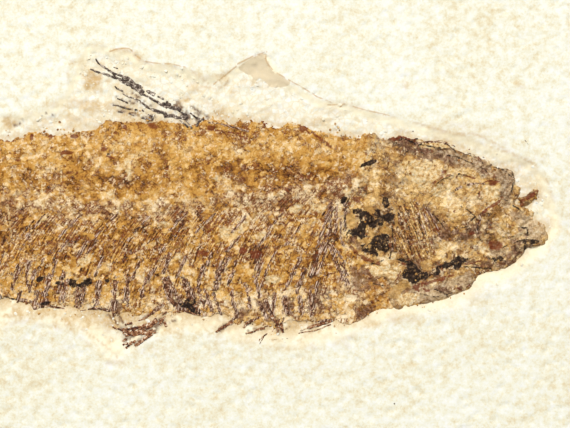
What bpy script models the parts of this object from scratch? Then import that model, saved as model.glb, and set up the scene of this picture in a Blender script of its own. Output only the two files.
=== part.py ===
"""A fossil herring pressed flat on a split slab of laminated limestone.

The slab lies on its flat underside. The fish lies in a shallow hollow that was
scraped round it, with its head towards +X and its back towards +Y. Each bone
plate, fin and the scaly flank is a low relief bedded in a pocket of the stone.
Lengths are in metres. The origin is under the middle of the slab, at its base.
"""

import math

import bmesh
import bpy
from mathutils import Vector, geometry, noise

MM = 0.001

# The slab
SLAB_LENGTH = 145 * MM
SLAB_WIDTH = 92 * MM
SLAB_THICKNESS = 10 * MM
CORNER_RADIUS = 9 * MM
EDGE_POINTS = 100  # round the slab's outline
# Heights of the bedding planes where the broken edge steps in or out
BEDDING = [z * MM for z in (0.0, 1.5, 3.2, 4.4, 6.3, 7.8, 9.1, 10.0)]
BROKEN_DEPTH = 3.4 * MM  # how far the break wanders, the same in every layer
LEDGE_DEPTH = 1.3 * MM  # how far one layer stands behind another
FOOT_INSET = 1.2 * MM  # the lowest layer is set back
WAVE = 0.14 * MM  # rise and fall of the split surface
TOP_SPACING = 9 * MM

# The hollow scraped round the fish, and how the fish is bedded in it
HOLLOW_DEPTH = 0.4 * MM
HOLLOW_BANK = 0.5 * MM  # width of the bank from its rim to its floor
FLOOR = SLAB_THICKNESS - HOLLOW_DEPTH
BURIED = 0.6 * MM  # how deep a bone reaches under the floor
GAP = 0.3 * MM  # clearance between pieces
EDGE_RISE = 0.1 * MM  # a bone's edge stands this far over the floor

# The fish's relief over its edge
FLANK_CROWN = 0.62 * MM
SKULL_CROWN = 0.8 * MM
VERTEBRAE = 42
VERTEBRA_RISE = 0.2 * MM
VERTEBRA_HALF = 0.95 * MM  # half the height of the backbone's band
RIB_RISE = 0.17 * MM
RIB_LEAN = 0.38  # how far a rib leans to the tail for each unit that it goes down
SPINE_LEAN = 0.55
RAY_RISE = 0.3 * MM

# Outlines, in millimetres, from a point to the next in the order that they run
BACK = [
    (27.4, 11.2), (24.0, 12.0), (21.2, 12.1), (19.0, 12.9), (16.8, 12.8), (14.2, 13.0), (11.9, 13.5),
    (9.2, 13.6), (6.5, 13.2), (1.5, 13.4), (-4.1, 13.4), (-8.5, 12.4), (-12.2, 11.9), (-16.0, 11.6),
    (-19.5, 11.4), (-25.6, 9.9), (-30.0, 8.4), (-33.7, 7.3), (-36.0, 6.9),
]
TAIL_BASE = [(-36.9, 4.6), (-37.1, 2.8), (-36.9, 0.9)]
BELLY = [
    (-36.0, -1.3), (-33.7, -1.8), (-30.0, -3.2), (-25.6, -5.4), (-21.2, -7.6), (-18.5, -8.8), (-16.2, -9.2),
    (-14.0, -10.1), (-10.1, -10.1), (-8.0, -10.2), (-4.9, -10.8), (-3.0, -11.1), (1.5, -10.9), (6.0, -11.1),
    (9.2, -11.4), (12.5, -12.2), (16.1, -12.5), (19.0, -12.1), (22.8, -11.6), (25.5, -12.1), (27.8, -11.2),
    (29.4, -10.4), (30.5, -9.5),
]
SHOULDER = [
    (29.9, -8.8), (30.5, -7.8), (29.8, -6.5), (29.2, -5.1), (27.2, -4.8), (25.2, -3.4), (24.1, -1.5),
    (23.6, 0.8), (23.9, 2.8), (25.0, 4.8), (26.1, 7.0), (27.0, 9.2),
]
SKULL = [
    (28.0, 11.2), (29.8, 11.2), (31.8, 11.5), (33.2, 11.2), (36.4, 10.8), (38.0, 10.1), (40.5, 9.2),
    (42.1, 8.6), (43.1, 7.8), (44.5, 7.6), (45.9, 6.9), (46.1, 6.1), (45.8, 4.6), (45.1, 3.4), (45.4, 2.5),
    (46.8, 1.9), (48.2, 1.2), (49.8, 0.5), (49.9, -0.4), (49.4, -1.0), (46.6, -1.0), (45.4, -1.8), (44.1, -2.9),
    (42.2, -3.0), (40.0, -3.2), (38.8, -2.9), (37.2, -3.6), (35.8, -4.8), (35.1, -4.5), (35.8, -3.6),
    (36.8, -2.4), (37.1, -0.6), (36.4, 1.5), (34.9, 3.2), (32.9, 4.2), (30.5, 5.4), (27.8, 5.8), (26.5, 5.5),
    (27.4, 7.8), (28.0, 9.5),
]
GILL_COVER = [
    (24.6, 3.0), (25.6, 4.4), (27.8, 5.0), (30.4, 4.6), (32.5, 3.5), (34.2, 2.6), (35.5, 1.1), (36.2, -0.6),
    (36.0, -2.0), (34.9, -3.2), (34.0, -4.2), (32.5, -3.9), (31.1, -3.9), (29.5, -4.2), (27.9, -3.9),
    (26.1, -2.6), (25.0, -1.1), (24.5, 0.8),
]
LOWER_JAW = [
    (31.0, -4.6), (32.2, -4.5), (33.9, -5.2), (35.6, -5.5), (37.4, -4.5), (38.9, -3.6), (40.1, -4.0),
    (42.4, -3.8), (44.5, -3.8), (45.8, -2.5), (46.9, -1.6), (48.9, -1.6), (47.6, -2.2), (46.9, -3.5),
    (45.0, -4.9), (42.9, -5.5), (41.4, -6.1), (40.9, -7.0), (40.1, -7.9), (38.2, -8.6), (36.4, -9.2),
    (33.9, -9.8), (32.5, -10.0), (31.1, -9.2), (30.8, -8.5), (31.4, -7.8), (30.6, -6.5), (30.1, -5.4),
]
LOOSE_BONE = [(46.0, 3.8), (47.2, 4.0), (48.2, 4.9), (49.0, 4.8), (48.6, 3.7), (47.6, 2.7), (46.4, 2.5), (46.5, 3.2)]
HOLLOW_RIM = [
    (51.8, -0.5), (51.5, 1.8), (50.6, 4.0), (49.9, 6.2), (48.8, 7.9), (47.4, 8.8), (45.1, 9.6), (42.4, 10.5),
    (40.1, 11.8), (36.0, 12.6), (32.9, 13.5), (30.1, 14.4), (27.0, 15.1), (24.6, 16.0), (21.8, 16.2),
    (20.1, 17.1), (17.5, 18.5), (16.2, 20.2), (14.8, 21.9), (13.0, 21.5), (11.5, 20.8), (9.2, 19.4),
    (7.0, 19.1), (5.1, 20.0), (2.9, 20.4), (-0.4, 21.0), (-2.1, 22.1), (-3.2, 22.4), (-5.5, 23.0), (-7.8, 22.8),
    (-9.0, 21.0), (-10.2, 18.0), (-12.2, 15.5), (-16.0, 14.5), (-19.8, 14.0), (-25.6, 12.4), (-30.6, 11.0),
    (-34.4, 10.8), (-39.4, 12.6), (-45.0, 15.8), (-51.2, 17.6), (-55.6, 16.3), (-53.8, 10.6), (-49.4, 5.8),
    (-48.2, 2.8), (-49.8, -1.2), (-53.6, -6.2), (-56.0, -11.0), (-51.9, -12.2), (-45.6, -9.3), (-40.0, -6.2),
    (-35.6, -4.6), (-31.2, -6.2), (-28.1, -8.2), (-24.4, -12.6), (-21.2, -14.8), (-18.6, -14.4), (-16.8, -12.0),
    (-12.2, -12.5), (-9.1, -13.4), (-6.8, -15.5), (-5.0, -17.2), (-3.0, -16.8), (-0.2, -14.8), (2.8, -13.8),
    (6.5, -13.5), (11.5, -14.8), (16.5, -15.5), (21.2, -15.2), (25.2, -14.0), (29.0, -12.8), (31.5, -11.8),
    (36.5, -11.0), (40.2, -9.8), (42.8, -7.8), (45.5, -7.0), (48.0, -5.2), (50.2, -3.0),
]

# Fins: where the roots lie, the line of the tips, and the number of rays. The first point is the leading ray.
DORSAL = {"roots": [(12.6, 14.5), (4.0, 14.4)], "tips": [(-6.8, 20.9), (-5.2, 18.0), (-3.6, 15.0)], "rays": 11}
PELVIC = {"roots": [(2.8, -12.2), (1.4, -11.9)], "tips": [(-4.2, -15.6), (-5.2, -13.8), (-4.6, -12.3)], "rays": 7}
PECTORAL = {"roots": [(23.6, -13.1), (23.8, -12.6)], "tips": [(17.6, -14.7), (16.8, -13.9), (17.4, -13.1)], "rays": 4}
ANAL = {"roots": [(-18.4, -8.9), (-28.4, -5.0)], "tips": [(-21.9, -13.6), (-26.4, -9.2), (-30.9, -5.6)], "rays": 12}
TAIL = {
    "roots": [(-37.2, 7.3), (-38.0, 5.0), (-38.2, 2.8), (-38.0, 0.6), (-37.2, -1.5)],
    "tips": [(-53.8, 15.8), (-47.0, 8.6), (-43.6, 2.8), (-47.2, -3.4), (-54.2, -10.2)],
    "rays": 20,
}

EYE = Vector((39.8, 4.2)) * MM
EYE_RADII = Vector((3.9, 2.6)) * MM


def clear_scene():
    for obj in list(bpy.data.objects):
        bpy.data.objects.remove(obj, do_unlink=True)


def stone_material(name, colour, roughness):
    material = bpy.data.materials.new(name)
    material.use_nodes = True
    shader = material.node_tree.nodes["Principled BSDF"]
    shader.inputs["Base Color"].default_value = (*colour, 1.0)
    shader.inputs["Roughness"].default_value = roughness
    shader.inputs["Metallic"].default_value = 0.0
    material.diffuse_color = (*colour, 1.0)
    return material


def in_metres(points):
    return [Vector(point) * MM for point in points]


def bent_line(points, steps, closed=False):
    """A smooth line through the points, with that many steps between two of them."""
    count = len(points)
    line = []
    for i in range(count if closed else count - 1):
        if closed:
            a, b, c, d = (points[(i + k) % count] for k in (-1, 0, 1, 2))
        else:
            b, c = points[i], points[i + 1]
            a = points[i - 1] if i else b * 2 - c
            d = points[i + 2] if i + 2 < count else c * 2 - b
        for step in range(steps):
            t = step / steps
            line.append(
                0.5 * ((2 * b) + (c - a) * t + (2 * a - 5 * b + 4 * c - d) * t**2 + (3 * b - a - 3 * c + d) * t**3)
            )
    return line if closed else [*line, points[-1]]


def along(line, share):
    """The point at that share of the way along an open line."""
    place = share * (len(line) - 1)
    i = min(int(place), len(line) - 2)
    return line[i].lerp(line[i + 1], place - i)


def height_at(line, x):
    """y of a line that runs along the fish, where it passes x."""
    for a, b in zip(line, line[1:]):
        if min(a.x, b.x) <= x <= max(a.x, b.x):
            return a.y + (b.y - a.y) * (x - a.x) / (b.x - a.x)
    return min(line, key=lambda point: abs(point.x - x)).y


def is_inside(point, outline):
    inside = False
    for a, b in zip(outline, [*outline[1:], outline[0]]):
        if (a.y > point.y) != (b.y > point.y):
            if point.x < a.x + (b.x - a.x) * (point.y - a.y) / (b.y - a.y):
                inside = not inside
    return inside


def distance_to(point, outline):
    """How far a point lies from a closed outline."""
    nearest = math.inf
    for a, b in zip(outline, [*outline[1:], outline[0]]):
        foot, share = geometry.intersect_point_line(point, a, b)
        foot = a if share < 0 else b if share > 1 else foot
        nearest = min(nearest, (point - foot.xy).length)
    return nearest


def kept_inside(points, outline, margin):
    return [p for p in points if is_inside(p, outline) and distance_to(p, outline) > margin]


def offset_outline(outline, distance):
    """The outline moved outwards, or inwards if the distance is negative."""
    area = sum(a.x * b.y - b.x * a.y for a, b in zip(outline, [*outline[1:], outline[0]]))
    side = 1 if area > 0 else -1
    moved = []
    for i, point in enumerate(outline):
        before = (point - outline[i - 1]).normalized()
        after = (outline[(i + 1) % len(outline)] - point).normalized()
        along_edge = (before + after).normalized()
        normal = Vector((along_edge.y, -along_edge.x)) * side
        stretch = 1 / max(abs(normal.dot(Vector((before.y, -before.x)))), 0.6)
        moved.append(point + normal * distance * stretch)
    return moved


def flat_faces(loops, inner=()):
    """Points and triangles that fill the first loop, and follow the other loops and the inner points."""
    points = [point for loop in loops for point in loop]
    edges = []
    start = 0
    for loop in loops:
        edges += [(start + i, start + (i + 1) % len(loop)) for i in range(len(loop))]
        start += len(loop)
    inside_only = 1
    verts, _, faces, *_ = geometry.delaunay_2d_cdt([*points, *inner], edges, [], inside_only, 1e-7)
    return verts, faces


def new_object(name, bm, material):
    bmesh.ops.remove_doubles(bm, verts=bm.verts, dist=1e-6)
    bmesh.ops.recalc_face_normals(bm, faces=bm.faces)
    mesh = bpy.data.meshes.new(name)
    bm.to_mesh(mesh)
    bm.free()
    mesh.materials.append(material)
    obj = bpy.data.objects.new(name, mesh)
    bpy.context.scene.collection.objects.link(obj)
    return obj


def add_sheet(bm, loops, inner, height):
    """A sheet of triangles with a height at each point."""
    points, faces = flat_faces(loops, inner)
    verts = [bm.verts.new((p.x, p.y, height(p))) for p in points]
    for face in faces:
        bm.faces.new([verts[i] for i in face])


def add_wall(bm, lower, upper):
    """Quads between two closed rings of 3-D points."""
    low = [bm.verts.new(point) for point in lower]
    high = [bm.verts.new(point) for point in upper]
    for i in range(len(low)):
        j = (i + 1) % len(low)
        bm.faces.new((low[i], low[j], high[j], high[i]))


def relief_plate(name, outline, inner, rise, material):
    """A bone bedded in the stone: a flat base, low walls and a top whose relief is rise(point)."""
    base = FLOOR - BURIED

    def top(point):
        return FLOOR + EDGE_RISE + rise(point)

    bm = bmesh.new()
    add_sheet(bm, [outline], inner, top)
    add_sheet(bm, [outline], (), lambda point: base)
    add_wall(bm, [(p.x, p.y, base) for p in outline], [(p.x, p.y, top(p)) for p in outline])
    return new_object(name, bm, material)


def pocket_cutter(name, outline):
    """The room that a bone takes in the stone, with the gap round it."""
    room = offset_outline(outline, GAP)
    deep = FLOOR - BURIED - GAP
    high = SLAB_THICKNESS + 2 * MM
    bm = bmesh.new()
    for level in (deep, high):
        add_sheet(bm, [room], (), lambda point, z=level: z)
    add_wall(bm, [(p.x, p.y, deep) for p in room], [(p.x, p.y, high) for p in room])
    cutter = new_object(f"{name}_pocket_cutter", bm, None)
    cutter.hide_render = True
    cutter.display_type = "WIRE"
    return cutter


def crown(point, outline, reach, rise):
    """A plate's swell: nothing at its edge, and the full rise from that far inside."""
    share = min(distance_to(point, outline) / reach, 1.0)
    return rise * math.sin(share * math.pi / 2)


# ---------------------------------------------------------------- the slab


def edge_outline():
    """The slab's outline before it breaks: a rectangle with round corners, as evenly spaced points."""
    half = Vector((SLAB_LENGTH / 2, SLAB_WIDTH / 2))
    corners = [(1, -1, -90), (1, 1, 0), (-1, 1, 90), (-1, -1, 180)]
    dense = []
    for sx, sy, start in corners:
        centre = Vector((sx * (half.x - CORNER_RADIUS), sy * (half.y - CORNER_RADIUS)))
        for step in range(13):
            angle = math.radians(start + 90 * step / 12)
            dense.append(centre + CORNER_RADIUS * Vector((math.cos(angle), math.sin(angle))))
    dense.append(dense[0])
    lengths = [(b - a).length for a, b in zip(dense, dense[1:])]
    spacing = sum(lengths) / EDGE_POINTS
    points = []
    walked = 0.0
    for a, b, length in zip(dense, dense[1:], lengths):
        while len(points) * spacing < walked + length and len(points) < EDGE_POINTS:
            points.append(a.lerp(b, (len(points) * spacing - walked) / length))
        walked += length
    return points


def broken(outline, layer):
    """The outline of one layer, broken back by a wander that all share and a ledge of its own."""
    moved = []
    for point in outline:
        inwards = -point.normalized()
        place = Vector((point.x, point.y, 0.0)) / (19 * MM)
        shared = 0.5 + 0.7 * noise.fractal(place, 0.8, 2.1, 4)
        ledge = noise.cell(Vector((point.x, point.y, layer * 11 * MM)) / (12 * MM))
        ripple = noise.noise(Vector((point.x, point.y, layer * 5 * MM)) / (3.1 * MM))
        back = BROKEN_DEPTH * max(shared, 0) + LEDGE_DEPTH * (0.75 * ledge + 0.25 * ripple)
        if layer == 0:
            back += FOOT_INSET
        moved.append(point + inwards * back)
    return moved


def fitted(layers):
    """The layers, stretched so that the slab measures exactly its length and width about the origin."""
    xs = [p.x for layer in layers for p in layer]
    ys = [p.y for layer in layers for p in layer]
    middle = Vector((min(xs) + max(xs), min(ys) + max(ys))) / 2
    stretch = Vector((SLAB_LENGTH / (max(xs) - min(xs)), SLAB_WIDTH / (max(ys) - min(ys))))
    return [[(p - middle) * stretch for p in layer] for layer in layers]


def build_slab(material, bones):
    layers = fitted([broken(edge_outline(), layer) for layer in range(len(BEDDING) - 1)])
    rim = bent_line(in_metres(HOLLOW_RIM), 2, closed=True)
    floor_line = offset_outline(rim, -HOLLOW_BANK)
    top_edge = layers[-1]

    def surface(point):
        wave = WAVE * noise.noise(Vector((point.x, point.y, 0)) / (26 * MM))
        if is_inside(point, rim) and distance_to(point, rim) > HOLLOW_BANK / 2:
            return FLOOR
        return SLAB_THICKNESS + (wave if distance_to(point, top_edge) > 1 * MM else 0.0)

    across = int(SLAB_LENGTH / TOP_SPACING)
    deep = int(SLAB_WIDTH / TOP_SPACING)
    grid = [
        Vector((i + 0.5 * (j % 2) - across / 2, j - deep / 2)) * TOP_SPACING
        for i in range(across + 1)
        for j in range(deep + 1)
    ]
    inner = [p for p in kept_inside(grid, top_edge, 3 * MM) if distance_to(p, rim) > 2 * MM]

    bm = bmesh.new()
    add_sheet(bm, [layers[0]], (), lambda point: 0.0)
    for i, layer in enumerate(layers):
        low, high = BEDDING[i], BEDDING[i + 1]
        add_wall(bm, [(p.x, p.y, low) for p in layer], [(p.x, p.y, high) for p in layer])
        if i + 1 < len(layers):
            above = layers[i + 1]
            add_wall(bm, [(p.x, p.y, high) for p in layer], [(p.x, p.y, high) for p in above])
    add_sheet(bm, [top_edge, rim, floor_line], inner, surface)
    slab = new_object("slab", bm, material)
    for name, outline in bones.items():
        cut = slab.modifiers.new(f"{name}_pocket", "BOOLEAN")
        cut.operation = "DIFFERENCE"
        cut.solver = "EXACT"
        cut.object = pocket_cutter(name, outline)
    return slab


# ---------------------------------------------------------------- the flank


def flank_lines():
    back = bent_line(in_metres(BACK), 2)
    belly = bent_line(in_metres(BELLY), 2)
    tail = in_metres(TAIL_BASE)
    shoulder = in_metres(SHOULDER)
    return back, belly, [*back, *tail, *belly, *shoulder]


def backbone_height(x):
    """y of the backbone's middle: it sinks a little from the head to the tail."""
    return 2.9 * MM + 0.0006 * MM * max(x / MM, 0) ** 2


def build_flank(material):
    back, belly, outline = flank_lines()
    front, rear = 26.4 * MM, -36.6 * MM
    pitch = (front - rear) / VERTEBRAE

    def relief(point):
        top, bottom = height_at(back, point.x), height_at(belly, point.x)
        middle = backbone_height(point.x)
        swell = crown(point, outline, 0.3 * (top - bottom), FLANK_CROWN)
        below = middle - point.y
        lean = RIB_LEAN * below if below > 0 else -SPINE_LEAN * below
        wave = 0.5 + 0.5 * math.cos(2 * math.pi * (point.x + lean - front) / pitch)
        near_edge = min(distance_to(point, outline) / (1 * MM), 1.0)
        if abs(below) < VERTEBRA_HALF * 1.05:
            return swell + VERTEBRA_RISE * (0.4 + 0.6 * wave) * near_edge
        ribs = RIB_RISE if below > 0 else 0.5 * RIB_RISE
        return swell + ribs * wave * near_edge

    inner = []
    for half in range(2 * VERTEBRAE + 24):
        x = front - half * pitch / 2 + 6 * MM
        middle = backbone_height(x)
        inner += [Vector((x, middle + offset)) for offset in (-VERTEBRA_HALF, 0.0, VERTEBRA_HALF)]
        for step in range(1, 7):
            drop = VERTEBRA_HALF + step * 2.2 * MM
            inner.append(Vector((x - RIB_LEAN * drop, middle - drop)))
        for step in range(1, 4):
            rise = VERTEBRA_HALF + step * 2.6 * MM
            inner.append(Vector((x - SPINE_LEAN * rise, middle + rise)))
    inner = kept_inside(inner, outline, 0.45 * MM)
    flank = relief_plate("scaly_flank", outline, inner, relief, material)
    return flank, outline


# ---------------------------------------------------------------- the head


def dotted(outline, spacing, margin):
    """Points on a staggered grid inside an outline."""
    xs = [p.x for p in outline]
    ys = [p.y for p in outline]
    points = []
    for j in range(int((max(ys) - min(ys)) / spacing) + 1):
        for i in range(int((max(xs) - min(xs)) / spacing) + 1):
            points.append(Vector((min(xs) + (i + 0.5 * (j % 2)) * spacing, min(ys) + j * spacing)))
    return kept_inside(points, outline, margin)


def build_skull(material):
    outline = bent_line(in_metres(SKULL), 2, closed=True)

    def relief(point):
        swell = crown(point, outline, 3.2 * MM, SKULL_CROWN)
        away = point - EYE
        ring = math.hypot(away.x / EYE_RADII.x, away.y / EYE_RADII.y)
        socket = -0.5 * MM * max(1 - ring**2, 0) + 0.16 * MM * math.exp(-(((ring - 1.15) / 0.16) ** 2))
        plates = 0.12 * MM * noise.noise(Vector((point.x, point.y, 0)) / (2.6 * MM))
        near_edge = min(distance_to(point, outline) / (1.2 * MM), 1.0)
        return swell + (socket + plates) * near_edge

    rings = [
        EYE + Vector((math.cos(a) * EYE_RADII.x * r, math.sin(a) * EYE_RADII.y * r))
        for r in (0.45, 0.8, 1.0, 1.18)
        for a in (2 * math.pi * k / 16 for k in range(16))
    ]
    away_from_eye = [
        p
        for p in dotted(outline, 1.35 * MM, 0.5 * MM)
        if math.hypot((p.x - EYE.x) / EYE_RADII.x, (p.y - EYE.y) / EYE_RADII.y) > 1.35
    ]
    inner = [*kept_inside(rings, outline, 0.4 * MM), EYE, *away_from_eye]
    skull = relief_plate("skull", outline, inner, relief, material)
    return skull, outline


def build_gill_cover(material):
    outline = bent_line(in_metres(GILL_COVER), 2, closed=True)
    hinge = Vector((33.0, 4.6)) * MM  # the fine ribs fan out from here

    def relief(point):
        swell = crown(point, outline, 2.6 * MM, 0.7 * MM)
        away = point - hinge
        fan = 0.05 * MM * math.cos(26 * math.atan2(away.y, away.x))
        worn = -0.32 * MM * math.exp(-(((point - Vector((28.4, -0.6)) * MM).length / (2.6 * MM)) ** 2))
        near_edge = min(distance_to(point, outline) / (1 * MM), 1.0)
        return swell + (fan + worn) * near_edge

    inner = dotted(outline, 1.1 * MM, 0.45 * MM)
    cover = relief_plate("gill_cover", outline, inner, relief, material)
    return cover, outline


def build_lower_jaw(material):
    outline = bent_line(in_metres(LOWER_JAW), 2, closed=True)

    def relief(point):
        return crown(point, outline, 1.3 * MM, 0.6 * MM)

    inner = dotted(outline, 1.0 * MM, 0.4 * MM)
    jaw = relief_plate("lower_jaw", outline, inner, relief, material)
    return jaw, outline


def build_loose_bone(material):
    outline = bent_line(in_metres(LOOSE_BONE), 2, closed=True)
    inner = dotted(outline, 0.6 * MM, 0.25 * MM)
    bone = relief_plate("loose_snout_bone", outline, inner, lambda p: crown(p, outline, 0.5 * MM, 0.3 * MM), material)
    return bone, outline


# ---------------------------------------------------------------- the fins


def build_fin(name, fin, material):
    """A fan of rays joined by a thin web: the crests are the rays, and the tips stand past the web."""
    roots = bent_line(in_metres(fin["roots"]), 4)
    tips = bent_line(in_metres(fin["tips"]), 4)
    rays = fin["rays"]
    crests = [(along(roots, i / (rays - 1)), along(tips, i / (rays - 1))) for i in range(rays)]
    valleys = [((a[0] + b[0]) / 2, (a[1] + b[1]) / 2) for a, b in zip(crests, crests[1:])]
    edge_points = 7
    outline = [crests[0][0].lerp(crests[0][1], k / edge_points) for k in range(edge_points)]
    for i, (root, tip) in enumerate(crests):
        outline.append(tip)
        if i < rays - 1:
            gap_root, gap_tip = valleys[i]
            outline.append(gap_root.lerp(gap_tip, 0.9))
    last_root, last_tip = crests[-1]
    outline += [last_tip.lerp(last_root, k / edge_points) for k in range(1, edge_points)]
    outline += [along(roots, 1 - k / (rays - 1)) for k in range(rays - 1)]

    lines = [(line, RAY_RISE) for line in crests[1:-1]] + [(line, 0.0) for line in valleys]
    inner, rises = [], []
    for (root, tip), rise in lines:
        for share in (0.18, 0.36, 0.54, 0.72, 0.86):
            inner.append(root.lerp(tip, share))
            rises.append(rise * (1 - 0.5 * share))

    def relief(point):
        for place, rise in zip(inner, rises):
            if (place - point).length < 1e-6:
                return rise
        return 0.0

    fin_plate = relief_plate(name, outline, kept_inside(inner, outline, 0.05 * MM), relief, material)
    return fin_plate, outline


def main():
    clear_scene()
    limestone = stone_material("cream laminated limestone", (0.80, 0.75, 0.60), 0.85)
    film = stone_material("ochre scaly film", (0.42, 0.24, 0.09), 0.6)
    bone = stone_material("brown fossil bone", (0.30, 0.19, 0.10), 0.55)
    horn = stone_material("black-brown fin rays", (0.10, 0.07, 0.05), 0.5)
    built = {
        "scaly_flank": build_flank(film),
        "skull": build_skull(bone),
        "gill_cover": build_gill_cover(bone),
        "lower_jaw": build_lower_jaw(bone),
        "loose_snout_bone": build_loose_bone(bone),
        "dorsal_fin": build_fin("dorsal_fin", DORSAL, horn),
        "pelvic_fin": build_fin("pelvic_fin", PELVIC, horn),
        "pectoral_fin": build_fin("pectoral_fin", PECTORAL, horn),
        "anal_fin": build_fin("anal_fin", ANAL, horn),
        "tail_fin": build_fin("tail_fin", TAIL, horn),
    }
    build_slab(limestone, {name: outline for name, (_, outline) in built.items()})


main()
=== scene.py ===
"""A crushed fossil herring on a split slab of laminated limestone, laid under soft studio light."""

import math

import bmesh
import bpy
import numpy as np
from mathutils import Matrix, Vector, geometry, noise


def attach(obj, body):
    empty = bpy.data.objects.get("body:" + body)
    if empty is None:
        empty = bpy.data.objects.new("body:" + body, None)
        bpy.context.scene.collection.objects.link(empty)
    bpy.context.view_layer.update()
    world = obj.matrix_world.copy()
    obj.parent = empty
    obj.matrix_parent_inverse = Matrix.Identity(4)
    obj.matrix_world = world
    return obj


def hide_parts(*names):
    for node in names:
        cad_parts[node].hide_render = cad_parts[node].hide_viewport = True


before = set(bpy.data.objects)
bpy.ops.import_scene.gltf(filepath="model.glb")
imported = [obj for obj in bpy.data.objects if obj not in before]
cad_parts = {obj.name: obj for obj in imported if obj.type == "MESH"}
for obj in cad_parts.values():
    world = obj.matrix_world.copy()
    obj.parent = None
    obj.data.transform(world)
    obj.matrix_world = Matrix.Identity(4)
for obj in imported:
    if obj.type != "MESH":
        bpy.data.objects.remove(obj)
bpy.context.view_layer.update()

MM = 0.001

# ---------------------------------------------------------------- the stone's and the fish's main sizes, in mm

SLAB_TOP = 10.0
SLAB_LENGTH = 145.0
SLAB_WIDTH = 92.0
HOLLOW_DEPTH = 0.4
FLOOR = SLAB_TOP - HOLLOW_DEPTH
SHEET_FOOT = FLOOR - 0.8  # how deep a sheet of bone or film goes into the stone
VERTEBRAE = 42
BACKBONE_FRONT = 26.4
BACKBONE_REAR = -36.6

BACK = [
    (27.4, 11.2), (24.0, 12.0), (21.2, 12.1), (19.0, 12.9), (16.8, 12.8), (14.2, 13.0), (11.9, 13.5),
    (9.2, 13.6), (6.5, 13.2), (1.5, 13.4), (-4.1, 13.4), (-8.5, 12.4), (-12.2, 11.9), (-16.0, 11.6),
    (-19.5, 11.4), (-25.6, 9.9), (-30.0, 8.4), (-33.7, 7.3), (-36.0, 6.9),
]
TAIL_BASE = [(-36.9, 4.6), (-37.1, 2.8), (-36.9, 0.9)]
BELLY = [
    (-36.0, -1.3), (-33.7, -1.8), (-30.0, -3.2), (-25.6, -5.4), (-21.2, -7.6), (-18.5, -8.8), (-16.2, -9.2),
    (-14.0, -10.1), (-10.1, -10.1), (-8.0, -10.2), (-4.9, -10.8), (-3.0, -11.1), (1.5, -10.9), (6.0, -11.1),
    (9.2, -11.4), (12.5, -12.2), (16.1, -12.5), (19.0, -12.1), (22.8, -11.6), (25.5, -12.1), (27.8, -11.2),
    (29.4, -10.4), (30.5, -9.5),
]
SHOULDER = [
    (29.9, -8.8), (30.5, -7.8), (29.8, -6.5), (29.2, -5.1), (27.2, -4.8), (25.2, -3.4), (24.1, -1.5),
    (23.6, 0.8), (23.9, 2.8), (25.0, 4.8), (26.1, 7.0), (27.0, 9.2),
]
SKULL = [
    (28.0, 11.2), (29.8, 11.2), (31.8, 11.5), (33.2, 11.2), (36.4, 10.8), (38.0, 10.1), (40.5, 9.2),
    (42.1, 8.6), (43.1, 7.8), (44.5, 7.6), (45.9, 6.9), (46.1, 6.1), (45.8, 4.6), (45.1, 3.4), (45.4, 2.5),
    (46.8, 1.9), (48.2, 1.2), (49.8, 0.5), (49.9, -0.4), (49.4, -1.0), (46.6, -1.0), (45.4, -1.8), (44.1, -2.9),
    (42.2, -3.0), (40.0, -3.2), (38.8, -2.9), (37.2, -3.6), (35.8, -4.8), (35.1, -4.5), (35.8, -3.6),
    (36.8, -2.4), (37.1, -0.6), (36.4, 1.5), (34.9, 3.2), (32.9, 4.2), (30.5, 5.4), (27.8, 5.8), (26.5, 5.5),
    (27.4, 7.8), (28.0, 9.5),
]
GILL_COVER = [
    (24.6, 3.0), (25.6, 4.4), (27.8, 5.0), (30.4, 4.6), (32.5, 3.5), (34.2, 2.6), (35.5, 1.1), (36.2, -0.6),
    (36.0, -2.0), (34.9, -3.2), (34.0, -4.2), (32.5, -3.9), (31.1, -3.9), (29.5, -4.2), (27.9, -3.9),
    (26.1, -2.6), (25.0, -1.1), (24.5, 0.8),
]
LOWER_JAW = [
    (31.0, -4.6), (32.2, -4.5), (33.9, -5.2), (35.6, -5.5), (37.4, -4.5), (38.9, -3.6), (40.1, -4.0),
    (42.4, -3.8), (44.5, -3.8), (45.8, -2.5), (46.9, -1.6), (48.9, -1.6), (47.6, -2.2), (46.9, -3.5),
    (45.0, -4.9), (42.9, -5.5), (41.4, -6.1), (40.9, -7.0), (40.1, -7.9), (38.2, -8.6), (36.4, -9.2),
    (33.9, -9.8), (32.5, -10.0), (31.1, -9.2), (30.8, -8.5), (31.4, -7.8), (30.6, -6.5), (30.1, -5.4),
]
LOOSE_BONE = [(46.0, 3.8), (47.2, 4.0), (48.2, 4.9), (49.0, 4.8), (48.6, 3.7), (47.6, 2.7), (46.4, 2.5), (46.5, 3.2)]
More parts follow.
